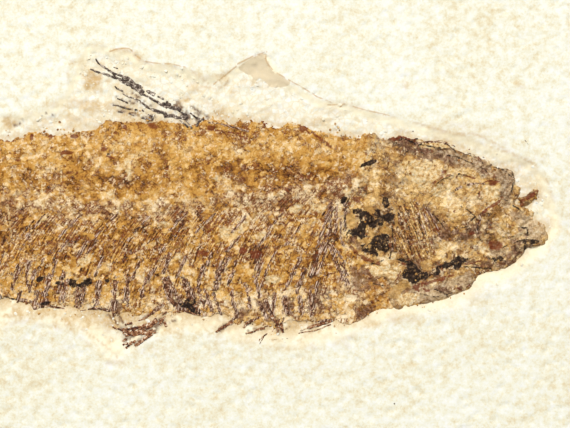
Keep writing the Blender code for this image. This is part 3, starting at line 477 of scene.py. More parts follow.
PLATES = [
    [
        (27.9, -4.9), (28.8, -4.5), (30.2, -4.6), (31.4, -4.9), (31.8, -5.4), (31.5, -5.9), (31.0, -6.4),
        (30.6, -6.9), (30.2, -6.5), (29.8, -6.0), (29.0, -6.1), (28.0, -5.9), (27.6, -5.4),
    ],
    [
        (30.9, -8.6), (31.8, -8.1), (33.0, -8.1), (33.9, -8.4), (33.5, -9.1), (32.8, -9.8), (31.8, -9.6),
        (31.0, -9.1),
    ],
    [(35.0, -6.8), (35.8, -6.5), (36.0, -7.0), (35.5, -7.4), (35.0, -7.2)],
    [(43.0, -4.6), (44.0, -4.5), (44.2, -5.0), (43.8, -5.4), (43.1, -5.1)],
    [(33.6, 11.0), (35.2, 10.9), (36.8, 10.6), (37.8, 10.2), (37.2, 9.9), (35.2, 10.0), (34.0, 10.1)],
    [(32.6, 8.4), (34.6, 8.6), (36.5, 8.1), (36.8, 7.0), (36.0, 6.0), (34.6, 5.2), (33.0, 5.8), (32.4, 7.0)],
    [(35.6, 5.1), (36.5, 5.5), (37.4, 5.0), (37.2, 4.0), (36.2, 3.8), (35.6, 4.2)],
    [(37.5, 3.5), (38.5, 3.9), (39.1, 3.0), (38.9, 2.0), (37.9, 2.0), (37.4, 2.8)],
    [(41.8, 5.2), (43.0, 5.4), (43.9, 5.0), (43.9, 3.1), (42.8, 2.8), (41.8, 3.6)],
    [(41.9, -2.5), (42.6, -2.4), (42.8, -3.1), (42.1, -3.5)],
    [(29.4, -3.5), (30.2, -2.9), (31.1, -3.2), (30.9, -4.1), (29.9, -4.2)],
    [(46.5, -0.5), (47.0, -0.5), (47.0, -1.1), (46.5, -1.1)],
    [(36.6, -1.9), (37.5, -1.6), (37.8, -2.6), (37.0, -2.9)],
    [(24.2, 4.8), (25.0, 5.2), (25.5, 4.5), (24.9, 3.9)],
    [(8.6, -0.5), (9.4, 0.1), (10.4, 0.1), (10.8, -0.6), (9.8, -1.6), (8.9, -1.2)],
    [(11.2, 0.2), (11.8, 1.0), (12.5, 0.8), (12.4, -0.1), (11.8, -0.5)],
    [(1.2, 0.5), (2.0, 0.9), (2.9, 0.5), (2.5, 0.0), (1.5, 0.1)],
    [(6.5, 3.8), (7.0, 4.2), (7.2, 3.2), (6.8, 2.8)],
    [(-5.2, 4.5), (-4.5, 4.8), (-4.1, 4.0), (-4.4, 3.2), (-4.9, 3.8)],
    [(-0.2, 3.0), (0.2, 3.4), (0.6, 2.8), (0.1, 2.2)],
    [(8.0, 6.2), (8.8, 6.6), (9.2, 6.1), (8.8, 5.6)],
    [(-3.0, 8.5), (-2.5, 8.9), (-2.1, 7.9), (-2.0, 6.0), (-2.4, 5.9), (-2.8, 7.0)],
    [(13.8, -1.0), (14.4, -0.4), (15.0, -0.8), (14.6, -1.5), (14.0, -1.5)],
    [(17.5, 2.4), (18.5, 3.1), (19.4, 2.9), (18.8, 2.0), (17.9, 1.9)],
    [(20.2, 2.9), (21.2, 3.1), (22.4, 2.8), (21.8, 1.9), (20.8, 2.0)],
    [(-8.8, -4.2), (-7.8, -3.2), (-6.8, -3.2), (-7.1, -4.2), (-8.2, -5.0)],
    [(14.5, -6.2), (15.5, -5.9), (16.8, -6.1), (16.2, -6.9), (15.0, -6.8)],
    [(3.1, -3.8), (3.6, -3.1), (4.4, -3.2), (4.1, -4.0)],
    [(7.2, -7.2), (7.8, -6.9), (8.0, -7.6), (7.5, -8.0)],
    [(-4.4, -7.5), (-3.9, -7.1), (-3.5, -8.0), (-3.9, -8.8)],
    [(10.5, -9.2), (11.2, -9.5), (11.5, -10.2), (10.8, -10.1)],
    [(15.5, -10.5), (16.2, -10.2), (16.8, -11.0), (16.0, -11.5)],
    [(22.8, -10.0), (23.5, -10.5), (23.8, -11.8), (23.1, -11.2)],
    [(24.9, -10.5), (25.6, -10.4), (25.8, -11.2), (25.1, -11.4)],
]
CLEAR = [
    [
        (45.5, 2.1), (46.8, 1.9), (48.0, 1.4), (48.8, 0.8), (49.6, 0.4), (49.9, -0.5), (49.6, -1.1), (48.5, -1.5),
        (47.8, -1.4), (47.4, -0.5), (47.2, 0.2), (46.4, 0.2), (45.6, 1.1),
    ],
    [
        (43.2, 7.2), (44.6, 7.8), (45.8, 7.2), (46.1, 6.2), (45.5, 5.0), (45.4, 4.1), (45.0, 2.6), (44.4, 2.6),
        (44.4, 4.1), (44.0, 5.2), (43.6, 6.2),
    ],
    [
        (35.2, 9.5), (37.8, 9.8), (39.2, 9.2), (41.2, 8.5), (42.8, 7.5), (43.2, 6.5), (42.0, 6.5), (40.5, 7.5),
        (38.8, 8.0), (37.0, 8.5),
    ],
    [
        (33.2, -7.0), (35.2, -7.4), (37.8, -6.4), (40.2, -5.5), (40.8, -6.5), (39.5, -7.8), (37.8, -8.6),
        (35.2, -9.2), (33.0, -9.5), (32.0, -9.0),
    ],
    [(42.2, -2.9), (43.8, -2.6), (44.6, -2.9), (44.5, -3.5), (42.8, -3.6)],
]
OPERCLE = [
    (31.1, 2.8), (32.8, 3.1), (34.5, 2.6), (35.8, 0.8), (35.8, -1.5), (34.8, -3.8), (33.4, -4.2), (32.0, -3.8),
    (31.0, -2.2), (30.6, 0.2),
]
RUST = [
    (43.4, -2.1, 1.2, 0.8, 0), (43.1, 5.6, 0.8, 0.38, 8), (37.0, 7.0, 0.5, 0.38, 0), (38.6, 6.4, 0.25, 0.44, 0),
    (41.4, 4.2, 0.19, 0.6, 0), (38.3, 2.1, 0.31, 0.31, 0), (34.9, -7.8, 0.5, 0.19, 10),
    (33.6, -7.6, 0.44, 0.44, 60), (13.4, -3.4, 1.1, 0.9, 0), (15.1, 13.0, 0.9, 0.6, 0), (19.5, 12.6, 1.0, 0.6, 30),
    (21.6, 11.1, 1.5, 0.6, -40), (-1.2, -11.4, 2.5, 0.38, 5), (46.8, 2.9, 0.5, 0.38, 20), (7.8, 12.5, 0.7, 0.5, 0),
    (30.9, 11.2, 1.0, 0.31, 5), (-5.4, 9.9, 0.6, 0.38, 20), (39.7, -4.5, 0.31, 0.25, 0),
    (36.2, -0.1, 0.9, 0.38, -30), (40.5, -0.6, 0.5, 0.38, 0), (32.5, 11.1, 0.5, 0.25, 0),
    (32.2, -4.5, 0.8, 0.25, -20), (26.2, 3.6, 1.0, 0.6, 0), (-10.0, 9.4, 1.0, 0.38, 0), (-17.5, 11.2, 0.8, 0.6, 0),
    (-14.6, 11.4, 0.38, 0.6, 0), (-12.1, 11.6, 0.9, 0.6, 0), (-9.2, 11.5, 0.6, 0.38, 0),
    (-4.1, 11.9, 0.38, 0.38, 0), (-2.9, 12.6, 0.44, 0.38, 0), (0.6, 12.8, 0.9, 0.5, -20),
    (2.1, 11.5, 0.25, 0.25, 0), (5.9, 13.1, 0.44, 0.38, 0), (46.2, 3.2, 0.5, 0.44, 0),
    (7.0, -3.1, 1.0, 0.4, -10), (9.9, -2.6, 0.6, 0.4, 20), (11.8, -2.8, 0.8, 0.5, 0), (1.0, -3.8, 0.8, 0.2, 10),
    (16.5, -3.3, 0.5, 0.3, 0), (-16.4, 8.5, 0.6, 0.2, 0), (-4.5, 8.8, 1.0, 0.2, -15),
]
PALE_SKIN = [
    (9.8, -1.0, 0.9, 0.9, 0), (12.0, 0.2, 0.6, 0.8, 0), (14.4, -1.0, 0.8, 0.5, 0), (35.2, 7.5, 2.3, 1.1, 0),
    (29.5, -5.4, 1.9, 0.7, -5), (32.5, -9.0, 1.4, 0.6, 5), (35.9, -6.6, 1.1, 0.5, 20), (37.1, 4.5, 1.0, 1.1, 0),
    (38.4, 3.4, 1.1, 0.9, -20), (43.6, 4.8, 1.0, 0.6, 10), (-2.5, 7.8, 0.5, 1.0, 0), (36.5, 11.0, 2.4, 0.33, -10),
    (38.0, -2.4, 0.8, 0.6, 0), (35.0, 10.4, 0.8, 0.5, 0), (-5.5, 4.2, 0.9, 0.6, 0), (21.8, 2.6, 1.1, 0.6, 0),
    (-9.1, -7.5, 0.38, 1.5, -5), (-10.0, -6.0, 0.5, 0.6, 0), (-2.5, -7.8, 0.38, 1.1, 0),
    (4.2, -7.0, 0.38, 1.0, -20), (10.0, -6.9, 0.6, 0.6, 0), (15.0, -6.8, 1.0, 0.38, 0), (19.2, -7.8, 0.5, 0.6, 0),
    (17.8, -11.5, 1.1, 0.5, 10), (12.8, -11.2, 1.0, 0.5, 0), (24.0, -11.0, 1.0, 0.5, 0),
    (42.4, -3.0, 0.9, 0.6, 10), (27.1, -6.8, 0.5, 0.9, 15), (44.0, 8.5, 1.0, 0.38, -20),
    (29.5, -4.2, 1.1, 0.8, 10),
]
# pale strokes painted as highlights where bone ridges glint
GLINTS = [
    (0.17, (24.0, 2.4), (24.1, 0.0), (24.3, -2.1)), (0.09, (40.6, 1.2), (40.9, -0.2)),
    (0.14, (33.9, 1.9), (34.6, 0.0), (35.0, -1.9)), (0.07, (34.4, 2.0), (35.1, 0.2), (35.4, -1.2)),
    (0.06, (33.5, 1.0), (34.2, -1.0)), (0.06, (33.0, 2.2), (33.5, 0.8)), (0.07, (34.8, -1.5), (35.0, -2.4)),
    (0.07, (24.6, -4.2), (25.5, -5.2)), (0.06, (25.2, -3.8), (26.0, -4.5)), (0.07, (25.9, -5.0), (26.2, -6.5)),
    (0.06, (32.0, 10.9), (32.0, 9.8)), (0.07, (30.4, 2.2), (30.2, 0.8)), (0.06, (14.2, -4.2), (13.5, -6.0)),
    (0.07, (10.5, -3.8), (9.6, -5.2)), (0.13, (2.5, -7.0), (3.2, -9.0)), (0.13, (4.8, -6.8), (5.5, -8.5)),
    (0.07, (20.4, -4.2), (19.6, -7.0)), (0.06, (15.0, -3.2), (14.2, -5.0)), (0.06, (7.2, -6.0), (6.8, -7.0)),
    (0.06, (-3.0, -7.0), (-3.0, -9.0)), (0.07, (-0.5, -5.0), (-0.6, -7.8)), (0.06, (18.0, -5.0), (17.5, -7.0)),
    (0.06, (12.1, -5.2), (11.5, -6.8)), (0.12, (23.0, 2.0), (22.4, -0.5)), (0.06, (22.2, 0.8), (21.6, -1.5)),
    (0.08, (-10.9, 7.9), (-10.8, 5.8)), (0.07, (-13.4, 7.2), (-13.2, 4.8), (-13.1, 2.2)),
    (0.07, (-16.8, 7.2), (-16.5, 5.2)), (0.07, (-8.5, 12.5), (-8.2, 9.8)), (0.07, (-17.5, 2.9), (-17.0, -1.5)),
    (0.08, (-9.8, -7.0), (-9.5, -9.0)), (0.13, (20.9, -8.0), (21.5, -8.6), (22.3, -9.3)), (0.09, (-8.2, -7.8), (-8.5, -10.0)),
    (0.1, (-14.5, -4.6), (-14.9, -6.6)), (0.1, (-10.5, -6.6), (-10.8, -8.0)), (0.1, (2.6, -6.9), (3.5, -9.2)),
    (0.1, (9.1, -5.0), (8.6, -7.0)), (0.09, (7.8, -4.2), (7.4, -6.6)), (0.09, (14.0, -5.0), (13.8, -6.6)),
    (0.1, (-4.2, -6.6), (-4.0, -9.0)), (0.09, (-13.5, 7.1), (-13.6, 5.6)), (0.09, (-10.9, 7.6), (-10.8, 6.2)),
]
DARK_LINES = [
    (0.09, (33.5, 11.2), (35.2, 11.1), (36.6, 10.8), (37.6, 10.4), (38.5, 9.5)),
    (0.11, (39.0, -4.8), (40.8, -4.9), (42.9, -5.1)), (0.12, (42.4, -3.8), (43.5, -3.9), (44.5, -4.1)),
    (0.1, (41.0, 1.1), (41.2, -0.2), (41.6, -1.8)), (0.09, (40.0, 0.6), (40.8, 1.4), (41.8, 1.9)),
    (0.07, (42.6, -4.8), (43.2, -4.4), (44.1, -4.5), (44.4, -5.2), (43.6, -5.6), (42.8, -5.4)),
    (0.07, (36.0, 5.5), (36.8, 6.1), (37.8, 6.5), (39.0, 6.8), (40.0, 6.5)), (0.09, (41.2, 4.5), (41.6, 3.8)),
    (0.09, (32.0, 3.0), (32.8, 1.0), (34.0, -1.8)), (0.07, (32.8, 3.2), (33.8, 1.2), (34.5, -1.2)),
    (0.09, (31.2, 2.0), (32.0, -0.2), (33.0, -3.0)), (0.1, (30.5, 0.2), (30.6, -2.0), (30.2, -3.8)),
    (0.09, (31.5, 2.8), (32.2, 1.0), (33.2, -1.5)), (0.07, (24.8, 2.9), (24.6, 1.0), (24.9, -1.2)),
    (0.09, (25.2, 3.8), (24.8, 3.0)), (0.1, (30.0, -3.8), (29.0, -4.2), (28.0, -4.5)),
    (0.09, (35.8, -7.6), (36.9, -8.1), (38.1, -9.0)), (0.07, (34.0, -8.2), (36.0, -8.6), (38.0, -8.1)),
    (0.09, (35.5, 1.8), (36.5, 0.8), (37.5, -0.8)), (0.07, (38.0, 0.8), (39.0, 0.0), (40.0, 0.2)),
    (0.07, (39.0, 2.8), (40.0, 2.2), (40.8, 1.5)), (0.07, (41.2, 7.8), (42.2, 7.2), (42.8, 6.5)),
    (0.07, (34.0, 9.8), (35.2, 9.6)), (0.09, (39.5, 9.4), (40.8, 9.0), (41.9, 8.1)),
    (0.07, (44.0, -1.0), (45.0, -1.2), (45.8, -1.0)), (0.07, (42.5, -1.2), (43.2, -1.1)),
    (0.07, (44.6, -4.2), (46.0, -4.8)), (0.06, (28.0, -7.0), (29.5, -7.2), (30.8, -7.0)),
    (0.13, (31.6, 11.3), (33.4, 10.6), (35.4, 10.2), (37.2, 9.9)), (0.1, (36.8, 9.2), (38.6, 8.9), (40.6, 8.0)),
    (0.1, (44.6, 3.6), (45.4, 3.0), (46.6, 2.2)), (0.09, (43.0, 7.8), (44.6, 7.2), (45.6, 6.2)),
    (0.13, (46.5, 0.0), (47.4, 0.0), (47.4, -0.8), (46.6, -0.8)),
    (0.12, (44.4, -2.4), (45.5, -1.9), (46.8, -1.5), (48.5, -1.6)), (0.1, (45.5, 7.2), (45.8, 6.0), (45.4, 4.5)),
]
RUST_LINES = [
    (0.3, (33.4, -7.4), (34.6, -6.9), (36.0, -6.5), (38.1, -5.9)),
    (0.3, (25.5, -2.4), (26.2, -3.2), (27.2, -3.9), (28.9, -4.5)),
    (0.2, (41.8, 1.9), (42.5, 2.5), (43.2, 2.9), (43.9, 3.4)), (0.11, (41.5, 5.5), (42.5, 5.9), (43.9, 5.8)),
    (0.12, (30.5, 11.2), (32.0, 11.4), (33.5, 11.1)), (0.15, (33.4, -7.1), (33.8, -7.9)),
    (0.16, (34.4, -7.6), (35.2, -8.0)), (0.15, (31.0, -6.5), (31.5, -5.5)), (0.12, (38.6, -7.4), (39.6, -8.1)),
    (0.11, (40.2, -4.5), (41.5, -4.1)), (0.15, (20.5, 12.0), (21.8, 11.0), (23.0, 10.0)),
    (0.12, (14.2, 13.4), (15.2, 12.8), (16.0, 13.0)), (0.14, (18.8, 13.2), (19.5, 12.5), (20.2, 11.8)),
    (0.12, (11.5, 11.5), (12.4, 11.2)), (0.12, (12.0, 11.9), (12.1, 11.1)), (0.11, (11.5, 11.9), (11.6, 11.1)),
    (0.1, (9.6, 11.8), (10.8, 10.4)), (0.1, (7.5, 12.4), (9.2, 12.1), (11.5, 11.8)),
    (0.1, (39.8, -7.4), (41.0, -6.5)), (0.14, (7.5, -0.5), (8.5, 0.2), (10.2, 2.2)),
    (0.12, (10.5, -0.5), (12.2, 1.2)), (0.12, (10.0, 0.5), (11.2, 1.6)), (0.11, (16.5, -0.5), (18.0, 1.2)),
    (0.3, (46.6, 3.2), (47.6, 3.8), (48.6, 4.5)), (0.16, (35.6, 5.6), (36.6, 6.3), (37.8, 6.7)),
    (0.12, (39.4, 6.6), (40.8, 6.2)),
]
GREY_BONE = [
    (34.8, 9.5, 3.8, 1.0, -12), (31.5, 10.8, 2.3, 0.9, 0), (40.9, 8.1, 3.3, 0.8, -28), (44.6, 5.4, 1.0, 2.5, 0),
    (48.0, 0.0, 2.1, 1.1, -10), (46.5, -3.0, 1.5, 1.1, 20), (37.1, -7.8, 4.0, 1.0, 14), (22.8, 0.0, 1.0, 3.8, 5),
    (20.9, -5.0, 0.8, 2.3, -20), (24.0, -7.1, 1.0, 1.8, 20), (3.1, -8.2, 0.8, 1.8, -25), (7.1, -5.9, 0.5, 1.5, 20),
    (-4.1, -8.5, 0.8, 1.8, 0), (20.2, -10.2, 1.5, 1.3, 0), (14.2, -9.0, 1.8, 1.3, 0), (27.1, -9.0, 1.3, 1.0, 0),
    (42.5, 7.9, 1.0, 1.1, -30), (48.0, 0.4, 2.0, 1.7, 0), (45.0, 6.2, 1.0, 1.5, 0),
]


def washes(x, y):
    """The broad light and dark areas of the fish: soft ovals that shift the tone."""
    shift = np.zeros(np.shape(x))
    x = x + 1.2 * (clouds(x, y, 2.2, 55, 3) - 0.5)
    y = y + 1.2 * (clouds(x, y, 2.2, 57, 3) - 0.5)
    for cx, cy, long, wide, turn, amount in WASHES:
        c, s = math.cos(math.radians(turn)), math.sin(math.radians(turn))
        u, v = (c * (x - cx) + s * (y - cy)) / long, (c * (y - cy) - s * (x - cx)) / wide
        shift = shift + amount * np.exp(-((u * u + v * v) ** 1.3))
    return shift


def crushed(x, y):
    """The look of the fish at each point: how dark and how ashen its film is, and the strength of what lies on it."""
    number, below = bone_number(x, y)
    head = smooth(x, 25.5, 28.5)
    fine, fine_edge = flakes(x + 0.2 * clouds(x, y, 0.3, 42, 2), y, 0.42, 41)
    broad, broad_edge = flakes(x + 0.5 * clouds(x, y, 0.6, 43, 2), y + 0.5 * clouds(x, y, 0.6, 44, 2), 0.95, 45)
    blotch = clouds(x, y, 2.2, 47, 3)
    grit = clouds(x, y, 0.24, 49, 2)
    thread = clouds(number, below * 0.16, 0.3, 51, 2)
    lower = smooth(below, 0.8, 2.6) * (1 - head)
    belly = smooth(below, 6.5, 9.0) * (1 - head)
    band = np.exp(-(((below - 0.5) / 2.1) ** 2)) * (1 - head)
    vertebra = centra(x, y) * (1 - head) * (0.35 + 0.65 * smooth(x, 8.0, 12.0))
    rib = strokes(x, y, RIBS + LOOSE_STREAKS, 1.4, 59, 1.25)
    rib = rib * smooth(clouds(x, y, 0.35, 61, 2), 0.30, 0.5)
    black = patches(x, y, BLACK_FILM, 1.3, 63, 0.25)
    black = np.maximum(black, torn_shapes(x, y, CHARRED, 0.3, 65) * smooth(clouds(x, y, 0.45, 66, 3), 0.22, 0.36))
    drawn = strokes(x, y, DARK_LINES, 1.2, 64)
    black = np.maximum(black, 0.7 * drawn * smooth(clouds(x, y, 0.5, 62, 2), 0.3, 0.5))
    island = torn_shapes(x, y, OCHRE, 0.12, 69)
    black = black * (1 - island)
    dusky = 0.85 * torn_shapes(x, y, DUSKY, 0.45, 67, 0.35) * smooth(clouds(x, y, 0.6, 68, 3), 0.28, 0.5)
    rust = patches(x, y, RUST, 1.0, 71, 0.7)
    drawn = strokes(x, y, RUST_LINES, 1.6, 60, 0.8)
    rust = np.maximum(rust, drawn * smooth(clouds(x, y, 0.5, 58, 3), 0.26, 0.42))
    pale_plate_and_glint = 0.85 * torn_shapes(x, y, PLATES, 0.22, 72, 0.25)
    # a thin pale stroke beside each rib, and the glint strokes, are painted highlights folded into the pale plate mask
    beside = [(0.07, *[(px + 0.2, py) for px, py in r[1:]]) for r in RIBS]
    split = strokes(x, y, beside, 1.4, 78) * smooth(clouds(x, y, 0.7, 80, 2), 0.42, 0.6)
    pale_plate_and_glint = np.maximum(pale_plate_and_glint, 0.8 * split)
    pale_plate_and_glint = np.maximum(pale_plate_and_glint, strokes(x, y, GLINTS, 1.3, 70))
    clear = torn_shapes(x, y, CLEAR, 0.35, 74, 0.4)
    opercle = torn_shapes(x, y, [OPERCLE], 0.4, 76, 0.5)
    pale = patches(x, y, PALE_SKIN, 1.3, 73, 0.7)
    gaps = clouds(x, y, 1.0, 75, 4) + 0.10 * (blotch - 0.5) + 0.05 * lower + 0.05 * belly
    pale = np.maximum(pale, 0.8 * smooth(gaps, 0.66, 0.76))
    bone = np.maximum(patches(x, y, GREY_BONE, 1.4, 77, 0.9), clear)
    tone = 0.34 - 0.03 * lower - 0.01 * belly + 0.02 * head + washes(x, y) - 0.26 * vertebra + 0.09 * band
    tone = tone + 0.38 * (blotch - 0.5) + 0.20 * (broad - 0.5) + 0.10 * (fine - 0.5)
    tone = tone - 0.12 * smooth(below, 10.8, 13.0) * (1 - head)
    tone = tone + 0.22 * lower * (clouds(x, y, 4.5, 48, 2) - 0.5) - 0.34 * pale + 0.08 * bone - 0.10 * np.exp(-(((below + 6.0) / 2.4) ** 2)) * (1 - head)
    ashen = 0.04 + 0.38 * band - 0.03 * lower + 0.18 * head + 0.5 * bone + 0.15 * pale + 0.25 * vertebra
    ashen = ashen + 0.3 * smooth(below, 10.8, 13.0) * (1 - head)
    ashen = ashen + 0.9 * (clouds(x, y, 1.6, 79, 3) - 0.5) - 0.35 * opercle
    grain = 0.35 + 0.35 * band * (below > 0) + 0.85 * lower
    grain = grain * (1 - head) + (0.3 + 0.6 * opercle) * head
    cover = 0.60 - 0.16 * lower + 0.10 * belly - 0.20 * band + 0.04 * head + 0.35 * pale - 1.0 * washes(x, y) - 0.1 * rust - 0.6 * opercle
    height = 0.06 * (fine - 0.5) + 0.12 * (broad - 0.5) + 0.06 * (grit - 0.5) - 0.08 * pale + 0.08 * vertebra
    height = height + 0.10 * rib + 0.12 * grain * (thread - 0.5) + 0.06 * black + 0.12 * (blotch - 0.5)
    height = height - 0.07 * (1 - smooth(broad_edge, 0.0, 0.16)) - 0.04 * (1 - smooth(fine_edge, 0.0, 0.2))
    return {
        "tone": np.clip(tone, -0.2, 1),
        "ashen": ashen,
        "grain": grain,
        "cover": cover - 0.5 * rib,
        "along": number * (1 - head) + (x + 0.45 * y) * head,
        "across": below,
        "rib": np.clip(rib, 0, 1),
        "black": black,
        "dusky": dusky,
        "clear": clear * (1 - pale_plate_and_glint),
        "rust": rust,
        "island": island,
        "pale_plate_and_glint": pale_plate_and_glint * (1 - black),
        "height": height,
    }


# ---------------------------------------------------------------- meshes from fields


def new_piece(name, verts, faces, material, masks=None):
    mesh = bpy.data.meshes.new(name)
    mesh.from_pydata(verts, [], faces)
    for mask, values in (masks or {}).items():
        mesh.attributes.new(mask, "FLOAT", "POINT").data.foreach_set("value", values)
    bm = bmesh.new()
    bm.from_mesh(mesh)
    bmesh.ops.recalc_face_normals(bm, faces=bm.faces)
    bm.to_mesh(mesh)
    bm.free()
    mesh.materials.append(material)
    mesh.shade_smooth()
    obj = bpy.data.objects.new(name, mesh)
    bpy.context.scene.collection.objects.link(obj)
    return obj


def bedded_sheet(name, outline, spacing, lift, material, ragged=2.2, joined=1.0):
    """A thin sheet of fossil on the stone. Its torn edge dives under the stone, and a flat foot closes it."""
    margin = 1.1
    low, high = outline.min(axis=0) - margin, outline.max(axis=0) + margin
    xs = np.arange(low[0], high[0], spacing)
    ys = np.arange(low[1], high[1], spacing)
    x, y = np.meshgrid(xs, ys)
    inside = depth_inside(x, y, outline)
    x = x + spacing * 0.35 * (lattice(np.round(x / spacing), np.round(y / spacing), 81) - 0.5)
    y = y + spacing * 0.35 * (lattice(np.round(x / spacing), np.round(y / spacing), 83) - 0.5)
    near = np.full(x.shape, -9.0)
    for other, _ in LIFTS:
        if other is not outline:
            near = np.maximum(near, depth_inside(x, y, other))
    near = smooth(near, -1.7, -1.0) * joined
    torn = inside + (1 - near) * (ragged * (clouds(x, y, 2.4, 85, 6) - 0.5) - 0.08) + 0.62 * near
    look = crushed(x, y)
    rise = lift(x, y, np.maximum(inside, 0) + 0.9 * near)
    above = -0.35 + 0.5 * smooth(torn, -0.35, 0.30) + rise + look.pop("height")
    stone = np.minimum(stone_height(x, y), FLOOR + 0.12)
    z = np.maximum(stone + above, SHEET_FOOT + 0.15)
    wanted = inside > -margin * 0.8
    cells = wanted[:-1, :-1] & wanted[1:, :-1] & wanted[:-1, 1:] & wanted[1:, 1:]
    index = np.arange(x.size).reshape(x.shape)
    a, b, c, d = index[:-1, :-1][cells], index[:-1, 1:][cells], index[1:, 1:][cells], index[1:, :-1][cells]
    quads = np.stack([a, b, c, d], axis=1)
    used = np.unique(quads)
    renumber = np.full(x.size, -1)
    renumber[used] = np.arange(used.size)
    quads = renumber[quads]
    verts = np.stack([x.flat[used], y.flat[used], z.flat[used]], axis=1)
    masks = {key: values.flat[used] for key, values in look.items()}
    return closed_sheet(name, verts, quads, masks, material)


def closed_sheet(name, verts, quads, masks, material):
    """Adds walls down to the foot and a flat foot under a sheet of quads."""
    edges = np.concatenate([quads[:, [0, 1]], quads[:, [1, 2]], quads[:, [2, 3]], quads[:, [3, 0]]])
    key = np.sort(edges, axis=1)
    _, first, count = np.unique(key[:, 0] * len(verts) + key[:, 1], return_index=True, return_counts=True)
    border = edges[first[count == 1]]
    ring = np.unique(border)
    foot_of = {int(v): len(verts) + k for k, v in enumerate(ring)}
    foot = verts[ring].copy()
    foot[:, 2] = SHEET_FOOT
    walls = [(int(b), int(a), foot_of[int(a)], foot_of[int(b)]) for a, b in border]
    place = {int(v): k for k, v in enumerate(ring)}
    flat = [Vector((p[0], p[1])) for p in foot]
    constraint = [(place[int(a)], place[int(b)]) for a, b in border]
    found, _, faces, origins, *_ = geometry.delaunay_2d_cdt(flat, constraint, [], 1, 1e-6)
    back = [len(verts) + source[0] for source in origins]
    bottom = [tuple(back[i] for i in face) for face in faces]
    all_verts = np.vstack([verts, foot]) * MM
    all_masks = {key: np.concatenate([values, values[ring]]).astype(np.float32) for key, values in masks.items()}
    all_faces = [tuple(q) for q in quads.tolist()] + walls + bottom
    return new_piece(name, all_verts.tolist(), all_faces, material, all_masks)


# ---------------------------------------------------------------- the slab

CORNER_RADIUS = 9.0
EDGE_POINTS = 100
EDGE_SPLIT = 5  # finer points between two of those
BEDDING = (0.0, 1.5, 3.2, 4.4, 6.3, 7.8, 9.1, 10.0)
BROKEN_DEPTH = 3.4
LEDGE_DEPTH = 1.3
FOOT_INSET = 1.2


def edge_outline():
    """A rectangle with round corners, as evenly spaced points."""
    half = np.array((SLAB_LENGTH / 2, SLAB_WIDTH / 2))
    dense = []
    for sx, sy, start in ((1, -1, -90), (1, 1, 0), (-1, 1, 90), (-1, -1, 180)):
        centre = np.array((sx, sy)) * (half - CORNER_RADIUS)
        for step in range(13):
            angle = math.radians(start + 90 * step / 12)
            dense.append(centre + CORNER_RADIUS * np.array((math.cos(angle), math.sin(angle))))
    dense = np.array([*dense, dense[0]])
    walked = np.concatenate([[0], np.cumsum(np.hypot(*np.diff(dense, axis=0).T))])
    stops = np.arange(EDGE_POINTS) * walked[-1] / EDGE_POINTS
    return np.stack([np.interp(stops, walked, dense[:, k]) for k in (0, 1)], axis=1)


def broken_layers():
    """The outline of each bed of the slab, broken back as its solid is."""
    outline = edge_outline()
    layers = []
    for layer in range(len(BEDDING) - 1):
        moved = []
        for px, py in outline:
            inwards = -np.array((px, py)) / math.hypot(px, py)
            shared = 0.5 + 0.7 * noise.fractal(Vector((px, py, 0.0)) / 19, 0.8, 2.1, 4)
            ledge = noise.cell(Vector((px, py, layer * 11)) / 12)
            ripple = noise.noise(Vector((px, py, layer * 5)) / 3.1)
            back = BROKEN_DEPTH * max(shared, 0) + LEDGE_DEPTH * (0.75 * ledge + 0.25 * ripple)
            moved.append(np.array((px, py)) + inwards * (back + (FOOT_INSET if layer == 0 else 0.0)))
        layers.append(np.array(moved))
    every = np.vstack(layers)
    low, high = every.min(axis=0), every.max(axis=0)
    return [(p - (low + high) / 2) * np.array((SLAB_LENGTH, SLAB_WIDTH)) / (high - low) for p in layers]


def lamina_rings(layers):
    """Closed rings of 3-D points up the slab's edge: each thin lamina has its own ledge and ragged line."""
    rings = []
    around = np.arange(EDGE_POINTS * EDGE_SPLIT)
    level, k = 0.0, 0
    while level < SLAB_TOP - 0.01:
        bed = max(i for i in range(len(BEDDING) - 1) if BEDDING[i] <= level + 1e-6)
        thick = 0.22 + 0.5 * lattice(np.array(k), np.array(3), 91)
        top = min(level + thick, BEDDING[bed + 1])
        if BEDDING[bed + 1] - top < 0.15:
            top = BEDDING[bed + 1]
        coarse = layers[bed]
        ahead = np.roll(coarse, -1, axis=0)
        share = (np.arange(EDGE_SPLIT) / EDGE_SPLIT)[None, :, None]
        line = (coarse[:, None] * (1 - share) + ahead[:, None] * share).reshape(-1, 2)
        outwards = line / np.hypot(*line.T)[:, None]
        ledge = 0.9 * smooth(clouds(around * 0.9, around * 0 + 40.0 * k, 9.0, 93, 2), 0.45, 0.62)
        chips = 0.5 * clouds(around * 0.9, around * 0 + 17.0 * k, 1.8, 95, 3)
        line = line - outwards * (ledge + chips)[:, None]
        lean = 0.12 * clouds(around * 0.9, around * 0 + 5.0 * k, 3.0, 97)[:, None]
        rings.append(np.column_stack([line, np.full(len(line), level)]))
        rings.append(np.column_stack([line - outwards * lean, np.full(len(line), top)]))
        level, k = top, k + 1
    return rings


def spread(x0, x1, y0, y1, spacing, seed):
    """Staggered, slightly shaken points over a box."""
    i, j = np.meshgrid(np.arange(x0, x1, spacing), np.arange(y0, y1, spacing * 0.87))
    row = np.round((j - y0) / (spacing * 0.87))
    i = i + spacing * 0.5 * (row % 2)
    shake = 0.5 * spacing
    return np.column_stack([
        (i + shake * (lattice(np.round(i * 9), np.round(j * 9), seed) - 0.5)).ravel(),
        (j + shake * (lattice(np.round(i * 9), np.round(j * 9), seed + 1) - 0.5)).ravel(),
    ])


